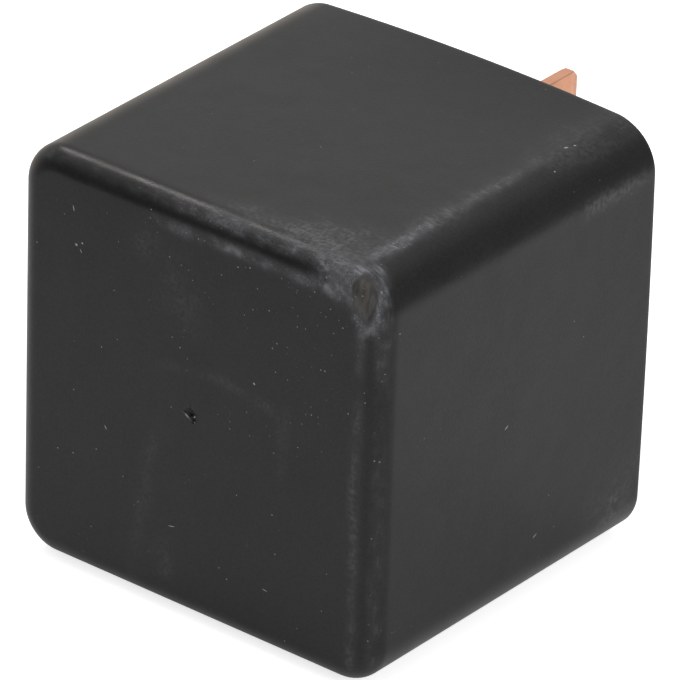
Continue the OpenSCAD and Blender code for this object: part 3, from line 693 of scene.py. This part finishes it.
# %% The strip's path and section
def spring_path():
    """Middle line of the strip as standing (y, z), its outward side and its half width. It climbs the leg,
    turns a quarter less the travel about the bend's centre, and runs straight along the arm."""
    back = float(spring_high[2]) - SPRING_THICKNESS
    radius = SPRING_BEND + SPRING_THICKNESS / 2
    lean = math.pi / 2 - TRAVEL
    arm_side, arm_along = circle(lean), circle(lean + math.pi / 2)
    # The bend's centre is one bend radius in from the leg and down from the strip on the armature
    rise = KNIFE_RADIUS + PULL_IN_GAP + ARMATURE_THICKNESS - SPRING_BEND
    slide = (PIVOT[0] - back + SPRING_BEND + rise * math.sin(TRAVEL)) / math.cos(TRAVEL)
    centre = np.array([back - SPRING_BEND, PIVOT[1] + rise * math.cos(TRAVEL) + slide * math.sin(TRAVEL)])
    start = centre + radius * arm_side
    reach = float(start[0] - spring_low[2]) / math.sin(lean)
    neck = reach - SPRING_END - SPRING_NECK
    leg = np.linspace(-float(spring_high[1]), centre[1], LEG_ROWS, endpoint=False)
    turn = np.linspace(0, lean, BEND_ROWS, endpoint=False)
    tip = reach - SPRING_END + SPRING_END * np.sin(np.linspace(0, math.pi / 2, TIP_ROWS))[:-1]
    out = np.concatenate([np.linspace(0, neck, ARM_ROWS, endpoint=False),
                          np.linspace(neck, reach - SPRING_END, NECK_ROWS, endpoint=False), tip])
    line = np.concatenate([
        np.stack([np.full(len(leg), back + SPRING_THICKNESS / 2), leg], -1),
        centre + radius * circle(turn),
        start + out[:, None] * arm_along])
    side = np.concatenate([
        np.tile([1.0, 0.0], (len(leg), 1)), circle(turn), np.tile(arm_side, (len(out), 1))])
    taper = spring_half - (spring_half - SPRING_END) * np.clip((out - neck) / SPRING_NECK, 0, 1)
    past_centre = np.clip(out - (reach - SPRING_END), 0, SPRING_END)
    arm_half = np.minimum(taper, np.sqrt(SPRING_END ** 2 - past_centre ** 2))
    half = np.concatenate([np.full(len(leg) + len(turn), spring_half), arm_half])
    return line, side, half, start + reach * arm_along


def strip_section(columns_across=9, columns_round=4):
    """Once round a strip's section, counter-clockwise: the shares of half width and half height at which
    each point's corner stands, and the unit steps outwards from there."""
    turn = np.linspace(0, math.pi / 2, columns_round)
    across = np.linspace(1, -1, columns_across)[1:-1]
    share, steps = [], []
    for quarter, (right, up) in enumerate(((1, 1), (-1, 1), (-1, -1), (1, -1))):
        share.append(np.tile([right, up], (columns_round, 1)))
        steps.append(circle(turn + quarter * math.pi / 2))
        if quarter % 2 == 0:
            share.append(np.stack([up * across, np.full(len(across), up)], -1))
            steps.append(np.tile([0.0, up], (len(across), 1)))
    return np.concatenate(share), np.concatenate(steps)


print("the strip has", len(spring_path()[0]), "rows of", len(strip_section()[0]), "points")


# %% Build the contact spring
def build_spring():
    """A point is line + width across + height along the side, and the foot and the tip close in poles."""
    line, side, half, tip = spring_path()
    share, steps = strip_section()
    edge = np.minimum(half, SPRING_EDGE)[:, None]
    x = (half[:, None] - edge) * share[:, 0] + edge * steps[:, 0]
    up = (SPRING_THICKNESS / 2 - SPRING_EDGE) * share[:, 1] + SPRING_EDGE * steps[:, 1]
    rows = np.concatenate([x[..., None], line[:, None] + up[:, None] * side[:, None]], -1)
    width = len(share)
    count = len(rows) * width
    poles = np.array([[0, *line[0]], [0, *tip]])
    quads = ring_cells(len(rows), width)[:, ::-1]
    fans = np.concatenate([ring_fan(count, 0, width, False), ring_fan(count + 1, count - width, width, True)])
    points = np.concatenate([rows.reshape(-1, 3), poles])
    return crease(as_mesh("bent_contact_spring", lying(points), quads, fans), 50)


spring = build_spring()
report(spring)
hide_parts("contact_spring")
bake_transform(spring)

# %% [markdown]
# ## Building materials from nodes
# A node tree is a chain of small steps. These helpers add one step each and wire it up, so that a
# material below reads like a recipe. All patterns use Object coordinates, which are metres in the
# relay's own frame, so a grain stays the same size on every part and never slides.

# %% Node helpers
class Recipe:
    """One material or world and the steps that build it."""

    def __init__(self, tree):
        self.tree = tree
        self.at = None

    def feed(self, socket, value):
        """Links an output to a socket, or writes a plain value there."""
        if isinstance(value, bpy.types.NodeSocket):
            self.tree.links.new(value, socket)
        else:
            socket.default_value = value

    def node(self, kind, given=None, **settings):
        """Adds a node, sets its plain settings, and then feeds the sockets that are given by name."""
        made = self.tree.nodes.new(kind)
        for key, value in settings.items():
            setattr(made, key, value)
        for socket, value in (given or {}).items():
            self.feed(made.inputs[socket], value)
        return made

    def place(self):
        """Object coordinates, in metres."""
        if self.at is None:
            self.at = self.node("ShaderNodeTexCoord").outputs["Object"]
        return self.at

    def stretched(self, scale):
        """Object coordinates squeezed by a factor along each axis."""
        return self.node("ShaderNodeMapping", {"Vector": self.place(), "Scale": scale}).outputs["Vector"]

    def noise(self, size, detail=3, roughness=0.55, at=None):
        """Soft noise whose blotches are about size metres across."""
        given = {"Vector": at or self.place(), "Scale": 1 / size, "Detail": detail, "Roughness": roughness}
        return self.node("ShaderNodeTexNoise", given).outputs["Fac"]

    def cells(self, size, output="Distance"):
        """Distance to the nearest of random points about size metres apart, in units of that size."""
        given = {"Vector": self.place(), "Scale": 1 / size}
        return self.node("ShaderNodeTexVoronoi", given).outputs[output]

    def attribute(self, name):
        """A number stored on the mesh's points."""
        return self.node("ShaderNodeAttribute", attribute_name=name).outputs["Fac"]

    def math(self, operation, first, second, clamp=False):
        """One sum on two numbers."""
        given = {0: first, 1: second}
        return self.node("ShaderNodeMath", given, operation=operation, use_clamp=clamp).outputs[0]

    def times(self, first, second):
        """One number times another."""
        return self.math("MULTIPLY", first, second)

    def fit(self, value, low, high, to_low=0.0, to_high=1.0, smooth=True):
        """Maps a number from one range to another and holds it at the ends."""
        given = {"Value": value, "From Min": low, "From Max": high, "To Min": to_low, "To Max": to_high}
        style = "SMOOTHSTEP" if smooth else "LINEAR"
        return self.node("ShaderNodeMapRange", given, interpolation_type=style).outputs["Result"]

    def mix(self, share, first, second):
        """Blends two colours."""
        given = {"Factor": share, "A": first, "B": second}
        return self.node("ShaderNodeMix", given, data_type="RGBA").outputs["Result"]

    def bump(self, height, depth, before=None):
        """Turns a height map into a tilt of the surface, over an earlier tilt; depth is in metres."""
        given = {"Height": height, "Distance": depth, "Strength": 1.0}
        if before is not None:
            given["Normal"] = before
        return self.node("ShaderNodeBump", given).outputs["Normal"]


print("steps of a recipe:", [step for step in vars(Recipe) if not step.startswith("_")])


# %% A new material
def new_material(name, given=None):
    """A material, its recipe, and the inputs of its Principled shader, whose uniform values are given."""
    made = bpy.data.materials.new(name)
    made.use_nodes = True
    made.node_tree.nodes.clear()
    recipe = Recipe(made.node_tree)
    shader = recipe.node("ShaderNodeBsdfPrincipled", given)
    recipe.node("ShaderNodeOutputMaterial", {"Surface": shader.outputs["BSDF"]})
    return made, recipe, shader.inputs


def grey(level):
    """A neutral colour."""
    return (level, level, level, 1)


print("a grey of 0.5 is", grey(0.5))

# %% [markdown]
# ## The housing plastic
# Black glass-filled nylon is never quite black. It mirrors a little of whatever stands round it, a
# fine mould texture blurs that reflection, and every rub leaves pale grain. So the base colour stays
# almost black, and the look comes from three layers over it: the stored wear, with some painted sheen,
# highlight and shade among it, broken up by fine noise, a sprinkle of dust specks, and a bump for the
# mould's own grain.

# %% Plastic colours and lint
PLASTIC_DARK = (0.0045, 0.0046, 0.0045, 1)
PLASTIC_LIGHT = (0.0112, 0.0112, 0.0109, 1)
SCUFF_PALE = (0.180, 0.184, 0.199, 1)
RUBBED = (0.074, 0.067, 0.061, 1)
# The torn lips' pale stands for stress whitening and for a painted highlight on the raised lips.
TORN_PALE_AND_HIGHLIGHT = (0.36, 0.35, 0.33, 1)
DUST = (0.34, 0.33, 0.32, 1)
# Lint and short scratches: the axis they face, place, length and width in millimetres, and lean in degrees
LINT = [
    ("Y", (-9.5, FACE, 10.6), 0.24, 0.04, 75), ("Y", (-9.25, FACE, 8.25), 0.12, 0.09, 20),
    ("Y", (-8.8, FACE, 8.5), 0.08, 0.07, 20), ("Y", (-8.9, FACE, 7.95), 0.18, 0.03, 60),
    ("Y", (-1.6, FACE, -8.0), 0.30, 0.03, -12), ("Y", (4.4, FACE, 3.9), 0.11, 0.07, 40),
    ("Y", (5.6, FACE, -9.6), 0.22, 0.03, 10), ("Y", (-6.8, FACE, -3.2), 0.18, 0.04, 55),
    ("X", (13.9, -13.7, -0.6), 0.22, 0.05, 30), ("X", (13.9, -10.4, -9.4), 0.24, 0.04, 30),
    ("Z", (11.3, -5.5, 13.95), 0.18, 0.08, 60), ("Z", (11.5, -4.9, 13.9), 0.12, 0.06, 60),
    ("Z", (12.3, -7.9, 13.8), 0.08, 0.08, 0),
]
# How deep a stroke reaches through the surface, and the brightness of the faintest and brightest specks
LINT_DEPTH = 0.4
FAINTEST_SPECK = 0.024
BRIGHTEST_SPECK = 0.70
print("listed", len(LINT), "lint strokes")


# %% Lint and dust
def lint_mask(r):
    """1 inside any of the lint strokes. A Mapping node squeezes each stroke into a ball of radius one."""
    total = None
    for faces, place, length, width, lean in LINT:
        across = {"X": (LINT_DEPTH, length, width), "Y": (length, LINT_DEPTH, width),
                  "Z": (length, width, LINT_DEPTH)}[faces]
        turn = [math.radians(lean) * (axis == faces) for axis in "XYZ"]
        given = {"Vector": r.place(), "Location": Vector(place) * MM, "Rotation": turn,
                 "Scale": Vector(across) * MM}
        squeezed = r.node("ShaderNodeMapping", given, vector_type="TEXTURE").outputs["Vector"]
        away = r.node("ShaderNodeVectorMath", {0: squeezed}, operation="LENGTH")
        stroke = r.fit(away.outputs["Value"], 1.0, 0.5)
        total = stroke if total is None else r.math("MAXIMUM", total, stroke)
    return total


# Sprinkles of specks, two everywhere and a denser one on the scuffs: the size of the cells that may hold a
# speck each, and the largest speck's radius, in metres
SPRINKLES = [(0.00030, 0.000052), (0.00034, 0.000048)]
SCUFF_SPRINKLE = (0.00022, 0.000058)


def dust_mask(r, cell, largest, share, rare=10.0):
    """How bright a speck is, and 0 between specks. Each cell of a Voronoi pattern may hold one, with its own
    random size and brightness: the higher the power rare, the fewer are bright."""
    colour = r.node("ShaderNodeSeparateColor", {"Color": r.cells(cell, "Color")})
    lowest = r.math("SUBTRACT", 1.0, share)
    size = r.fit(colour.outputs["Red"], lowest, 1.0, 0.0, largest / cell, smooth=False)
    inside = r.math("LESS_THAN", r.cells(cell), size)
    bright = r.times(r.math("POWER", colour.outputs["Green"], rare), BRIGHTEST_SPECK)
    return r.times(inside, r.math("ADD", FAINTEST_SPECK, bright))


def all_dust(r, specks, scuff):
    """The brightest of two sprinkles of specks, a denser one where the plastic is scuffed, and the lint."""
    dust = r.math("MAXIMUM", *(dust_mask(r, *sprinkle, specks) for sprinkle in SPRINKLES))
    dust = r.math("MAXIMUM", dust, lint_mask(r))
    return r.math("MAXIMUM", dust, r.times(dust_mask(r, *SCUFF_SPRINKLE, scuff, rare=3.0), 0.8))


print("a speck is at most", round(2 * SCUFF_SPRINKLE[1] / MM, 3), "mm across")


# %% The housing plastic, layer by layer
def near_black(r):
    """Mould grain: a fine mottle between two near-blacks, and a slow drift."""
    mottle = r.fit(r.noise(0.00017, detail=3, roughness=0.65), 0.30, 0.70)
    drift = r.fit(r.noise(0.0045, detail=2), 0.3, 0.7, -0.12, 0.12)
    return r.mix(r.math("ADD", mottle, drift, clamp=True), PLASTIC_DARK, PLASTIC_LIGHT)


def scuff_grain(r):
    """Bright grains in clumps, some of them drawn out across the edge."""
    grain = r.fit(r.noise(0.00014, detail=4, roughness=0.75), 0.42, 0.66)
    drawn = r.fit(r.noise(1.0, detail=2, at=r.stretched((1100.0, 5200.0, 1100.0))), 0.42, 0.68)
    clumps = r.fit(r.noise(0.0007, detail=2), 0.30, 0.62, 0.25, 1.0)
    return r.times(r.math("MAXIMUM", r.times(grain, 0.75), drawn), clumps)


def pale_share(r, grain, scuff, haze, rubbed):
    """A scuff is a smooth veil with grains in it, a haze is a thin veil that also carries painted sheen, and the
    rubbed spot lost both.
    """
    scuffed = r.times(scuff, r.math("ADD", 0.30, r.times(grain, 0.70)))
    hazed = r.times(haze, r.fit(r.noise(0.0003, detail=3), 0.3, 0.7, 0.08, 0.46))
    pale = r.math("ADD", scuffed, hazed, clamp=True)
    return r.times(pale, r.math("SUBTRACT", 1.0, r.times(rubbed, 0.85)))


def rubbed_spot_and_step_shade(r, colour, grain, rubbed):
    """The worn spot's streaks, and a painted shade line along the step that it ends in."""
    streaks = r.fit(r.noise(1.0, detail=2, at=r.stretched((5000.0, 900.0, 1100.0))), 0.3, 0.7, 0.45, 1.0)
    colour = r.mix(r.times(rubbed, streaks), colour, RUBBED)
    # A painted shade line: the colour darkens to near-black along the rubbed spot's edge, where its step falls in
    # shade.
    step = r.times(r.fit(rubbed, 0.05, 0.3), r.fit(rubbed, 0.7, 0.35))
    return r.mix(r.times(step, r.fit(grain, 0.0, 0.9, 0.0, 0.40)), colour, PLASTIC_DARK)


def housing_plastic():
    """Near-black plastic with scuffed rims, a rubbed corner with a painted shade line at its edge, flow ghosts,
    painted sheen, dust, and torn lips at the gate that are pale with whitening and a painted highlight.
    """
    made, r, inputs = new_material("housing_plastic", {"IOR": 1.37})
    scuff, rubbed, haze, specks, torn = (r.attribute(name) for name in WEAR_AND_SHEEN_MAPS)
    grain = scuff_grain(r)
    pale = pale_share(r, grain, scuff, haze, rubbed)
    colour = r.mix(pale, near_black(r), SCUFF_PALE)
    colour = rubbed_spot_and_step_shade(r, colour, grain, rubbed)
    # Pale on the raised torn lips: stress whitening, and a painted highlight where the lips catch the light.
    colour = r.mix(r.fit(torn, 0.25, 0.9, 0.0, 0.9), colour, TORN_PALE_AND_HIGHLIGHT)
    r.feed(inputs["Base Color"], r.mix(all_dust(r, specks, scuff), colour, DUST))
    rough = r.fit(r.noise(0.0022), 0.3, 0.7, 0.30, 0.36)
    rough = r.math("ADD", rough, r.times(scuff, 0.30))
    rough = r.math("ADD", rough, r.times(haze, 0.12))
    r.feed(inputs["Roughness"], r.math("SUBTRACT", rough, r.times(rubbed, 0.10), clamp=True))
    moulded = r.bump(r.noise(0.00012, detail=3), 0.000007)
    waved = r.bump(r.noise(0.0035, detail=1), 0.00003, moulded)
    r.feed(inputs["Normal"], r.bump(r.times(grain, pale), 0.000020, waved))
    return made


housing = housing_plastic()
cover.data.materials.append(housing)
print("made", housing.name)

# %% [markdown]
# ## Plain moulded plastics
# The base plate and the bobbin are moulded too, but they were never handled. They need only a mould
# grain and a slow drift of colour, so one function makes both from their own numbers.

# %% Base and bobbin plastic
def moulded_plastic(name, colour, drift, roughness, grain):
    """Two close colours in slow clouds, under a fine mould grain; grain is its height in metres."""
    made, r, inputs = new_material(name, {"IOR": 1.42})
    clouds = r.fit(r.noise(0.003, detail=4), 0.3, 0.7)
    r.feed(inputs["Base Color"], r.mix(clouds, colour, drift))
    fine = r.noise(0.00012, detail=2)
    r.feed(inputs["Roughness"], r.fit(fine, 0.3, 0.7, roughness - 0.05, roughness + 0.05))
    r.feed(inputs["Normal"], r.bump(fine, grain))
    return made


base_plastic = moulded_plastic("base_plastic", (0.014, 0.014, 0.0145, 1), (0.021, 0.021, 0.020, 1),
                               0.45, 0.000006)
bobbin_plastic = moulded_plastic("bobbin_plastic", (0.66, 0.62, 0.52, 1), (0.58, 0.53, 0.43, 1),
                                 0.42, 0.000003)
print("made", base_plastic.name, bobbin_plastic.name)

# %% [markdown]
# ## Bare and plated metals
# Every metal here started as rolled strip or drawn wire, so it carries fine lines one way, a soft cloud
# of tarnish, and a gloss that changes with both. Noise squeezed along two axes and left long on the
# third draws the rolling lines. The metals then differ only in colour, in how far the tarnish has gone
# and in which way they were rolled.

# %% Metals
ALONG_Y = (22000.0, 700.0, 22000.0)
ALONG_X = (700.0, 22000.0, 22000.0)
NO_LINES = (5000.0, 5000.0, 5000.0)
TARNISH_SHARE = 0.5


def metal(name, colour, tarnish, gloss, lines=ALONG_Y, depth=0.0000006):
    """Metal that drifts from colour to tarnish in clouds and specks. gloss is the lowest and highest
    roughness, and depth the height of the rolling lines in metres."""
    made, r, inputs = new_material(name, {"Metallic": 1.0})
    clouds = r.fit(r.noise(0.0024, detail=5, roughness=0.65), 0.42, 0.78)
    specks = r.fit(r.noise(0.0003, detail=3, roughness=0.7), 0.58, 0.78)
    rolled = r.noise(1.0, detail=3, at=r.stretched(lines))
    share = r.math("ADD", r.times(clouds, TARNISH_SHARE), r.times(specks, TARNISH_SHARE / 2))
    share = r.math("ADD", share, r.fit(rolled, 0.3, 0.8, 0.0, 0.16), clamp=True)
    r.feed(inputs["Base Color"], r.mix(share, colour, tarnish))
    r.feed(inputs["Roughness"], r.fit(r.math("ADD", rolled, share), 0.35, 1.1, gloss[0], gloss[1]))
    r.feed(inputs["Normal"], r.bump(rolled, depth))
    return made


copper = metal("blade_copper", (0.80, 0.40, 0.25, 1), (0.56, 0.26, 0.16, 1), (0.28, 0.42))
steel = metal("plated_steel", (0.66, 0.68, 0.71, 1), (0.44, 0.45, 0.48, 1), (0.25, 0.40), ALONG_X)
bronze = metal("spring_bronze", (0.74, 0.47, 0.25, 1), (0.45, 0.26, 0.13, 1), (0.22, 0.34))
silver = metal("contact_silver", (0.84, 0.84, 0.82, 1), (0.50, 0.48, 0.44, 1), (0.20, 0.40), NO_LINES)
tin = metal("solder", (0.76, 0.77, 0.78, 1), (0.52, 0.53, 0.55, 1), (0.12, 0.30), NO_LINES, depth=0.000004)
print("made", [m.name for m in (copper, steel, bronze, silver, tin)])

# %% [markdown]
# ## Enamelled wire
# The enamel is a clear skin over bright copper. A coat does that: the metal underneath keeps its own
# colour, and a sharp second gloss lies over it. The winding wanders a little in tone from turn to
# turn, so its noise is long round the coil and short along it.

# %% Enamelled copper
def enamelled_copper():
    """Red-brown copper under a clear coat, with a tone that changes from turn to turn along the coil."""
    coat = {"Coat Weight": 0.7, "Coat Roughness": 0.12, "Coat IOR": 1.55}
    made, r, inputs = new_material("enamelled_copper", {"Metallic": 0.9, **coat})
    turns = r.noise(1.0, detail=2, at=r.stretched((300.0, 5200.0, 300.0)))
    tone = r.fit(turns, 0.3, 0.7)
    r.feed(inputs["Base Color"], r.mix(tone, (0.50, 0.17, 0.07, 1), (0.34, 0.10, 0.045, 1)))
    r.feed(inputs["Roughness"], r.fit(r.noise(0.0008), 0.3, 0.7, 0.24, 0.36))
    return made


enamel = enamelled_copper()
print("made", enamel.name)

# %% [markdown]
# ## Dressing the packed parts
# The record says which material slot each part takes its finish from, so one loop dresses them all.
# A stamped or moulded part has no knife edges either. The packed meshes are loose triangles, so a
# Weld joins them, a planar Decimate clears the flats, and a small Bevel rounds what is left.

# %% Materials and edges of the packed parts
FINISHES = {"housing_plastic": housing, "base_plastic": base_plastic, "bobbin_plastic": bobbin_plastic,
            "blade_copper": copper, "plated_steel": steel, "enamelled_copper": enamel,
            "spring_bronze": bronze, "contact_silver": silver, "solder": tin}
# Width of the bevel on each material's packed parts, in millimetres
EDGE_ROUND = {"blade_copper": 0.07, "plated_steel": 0.08, "bobbin_plastic": 0.10, "base_plastic": 0.08}


def soften_edges(piece, width):
    """Weld, planar Decimate and a two-step Bevel on edges over 30 degrees; width is in millimetres."""
    weld = piece.modifiers.new("weld", "WELD")
    weld.merge_threshold = 0.001 * MM
    flats = piece.modifiers.new("flats", "DECIMATE")
    flats.decimate_type = "DISSOLVE"
    flats.angle_limit = math.radians(1)
    bevel = piece.modifiers.new("edges", "BEVEL")
    bevel.width = width * MM
    bevel.segments = 2
    bevel.limit_method = "ANGLE"
    bevel.angle_limit = math.radians(30)
    bevel.harden_normals = True


for part in frame["record"]["subparts"]:
    piece, slot = nodes[part["node"]], part["material_slot"]
    piece.data.materials.clear()
    piece.data.materials.append(FINISHES[slot])
    if slot in EDGE_ROUND:
        soften_edges(piece, EDGE_ROUND[slot])
winding.data.materials.append(enamel)
spring.data.materials.append(bronze)

# %% [markdown]
# ## The studio
# Small black parts are lit by large soft boxes over a white sweep. The plastic mirrors the sweep and
# the boxes, and the dark parts of the room between them draw the rounded edges. Here the floor and the
# room are white to the camera and pale in reflections, with a few darker stretches, while the light
# that falls on the parts stays at a plain level, so that colours come out as they are written.

# %% Studio values
# The floor's reach in metres and its corners, its colour, and its glow in reflections and to the camera
FLOOR_REACH = 0.09
FLOOR_CORNERS = 64
FLOOR_WHITE = 0.78
FLOOR_GLOW = 0.20
FLOOR_CLEAR = 0.50
# The room's level as a light, its level in reflections, and how far a stretch fades out, in radians
FILL_LEVEL = 0.55
ROOM_LEVEL = 0.81
STRETCH_FADE = 0.45
# Stretches of the room, two dark and one warm: direction, half width in radians, and colour
STRETCHES = [
    ((0.66, 0.70, 0.13), 0.38, grey(0.42)),
    ((-0.54, -0.80, 0.06), 0.42, grey(0.22)),
    ((-0.80, 0.40, -0.40), 0.50, (0.98, 0.88, 0.78, 1)),
]
# Soft boxes: direction, distance and side in metres, power in watts, colour, and whether the parts mirror it
SOFT_BOXES = {
    "box_overhead": ((-0.55, 0.12, 0.83), 0.7, 0.1, 0.85, (1.0, 0.95, 0.92), True),
    "box_above": ((-0.35, -0.15, 0.92), 0.9, 0.7, 0.9, (1, 1, 1), False),
    "box_right": ((0.85, 0.10, 0.50), 0.9, 0.5, 2.7, (1, 1, 1), False),
    "box_front": ((-0.15, -0.85, 0.50), 0.9, 0.5, 0.8, (1, 1, 1), False),
}
AIMED_AT = Vector((0, -0.01, 0))
print("planned", len(SOFT_BOXES), "soft boxes")


# %% Floor and room
def seen_rays(r):
    """The Light Path's outputs, and 1 for rays from the camera, a mirror or a glass."""
    path = r.node("ShaderNodeLightPath").outputs
    seen = r.math("MAXIMUM", path["Is Camera Ray"], path["Is Glossy Ray"])
    return path, r.math("MAXIMUM", seen, path["Is Transmission Ray"])


def add_floor():
    """A white card under the relay. It glows a little to the camera, which thins the relay's shadow on it."""
    points = np.full((FLOOR_CORNERS + 1, 3), cad_low[2] / MM)
    points[:-1, :2] = circle(np.linspace(0, 2 * math.pi, FLOOR_CORNERS, endpoint=False)) * FLOOR_REACH / MM
    points[-1, :2] = 0
    floor = as_mesh("floor", points, [], ring_fan(FLOOR_CORNERS, 0, FLOOR_CORNERS, True))
    card = {"Base Color": grey(FLOOR_WHITE), "Roughness": 0.9, "Specular IOR Level": 0.0}
    made, r, inputs = new_material("floor_white", {**card, "Emission Color": grey(1)})
    path, seen = seen_rays(r)
    clear = r.times(path["Is Camera Ray"], FLOOR_CLEAR)
    r.feed(inputs["Emission Strength"], r.math("ADD", r.times(seen, FLOOR_GLOW), clear))
    floor.data.materials.append(made)


def add_room():
    """White to the camera, a fill level for scattered light, and in reflections a pale room with its
    stretches. A stretch is laid over by how near the ray's direction is to its own: their dot product."""
    world = bpy.data.worlds.new("studio")
    bpy.context.scene.world = world
    world.use_nodes = True
    world.node_tree.nodes.clear()
    r = Recipe(world.node_tree)
    path, seen = seen_rays(r)
    towards = r.node("ShaderNodeTexCoord").outputs["Generated"]
    room = grey(ROOM_LEVEL)
    for direction, wide, shade in STRETCHES:
        given = {0: towards, 1: Vector(direction).normalized()}
        along = r.node("ShaderNodeVectorMath", given, operation="DOT_PRODUCT").outputs["Value"]
        share = r.fit(along, math.cos(wide + STRETCH_FADE), math.cos(wide / 2))
        room = r.mix(share, room, shade)
    shown = r.mix(path["Is Camera Ray"], room, grey(1))
    background = r.node("ShaderNodeBackground", {"Color": r.mix(seen, grey(FILL_LEVEL), shown)})
    r.node("ShaderNodeOutputWorld", {"Surface": background.outputs["Background"]})


add_floor()
add_room()
print("floor at", round(cad_low[2] / MM, 2), "mm")


# %% Soft boxes
def add_soft_box(name, direction, distance, side, power, colour, mirrored):
    """A square lamp that stands off the relay in a direction and faces it."""
    data = bpy.data.lights.new(name, "AREA")
    data.shape = "RECTANGLE"
    data.size = data.size_y = side
    data.energy = power
    data.color = colour
    lamp = bpy.data.objects.new(name, data)
    away = Vector(direction).normalized()
    lamp.location = AIMED_AT + away * distance
    lamp.rotation_mode = "QUATERNION"
    lamp.rotation_quaternion = away.to_track_quat("Z", "Y")
    lamp.visible_glossy = mirrored
    bpy.context.scene.collection.objects.link(lamp)


for name, settings in SOFT_BOXES.items():
    add_soft_box(name, *settings)
print("lit by", list(SOFT_BOXES))
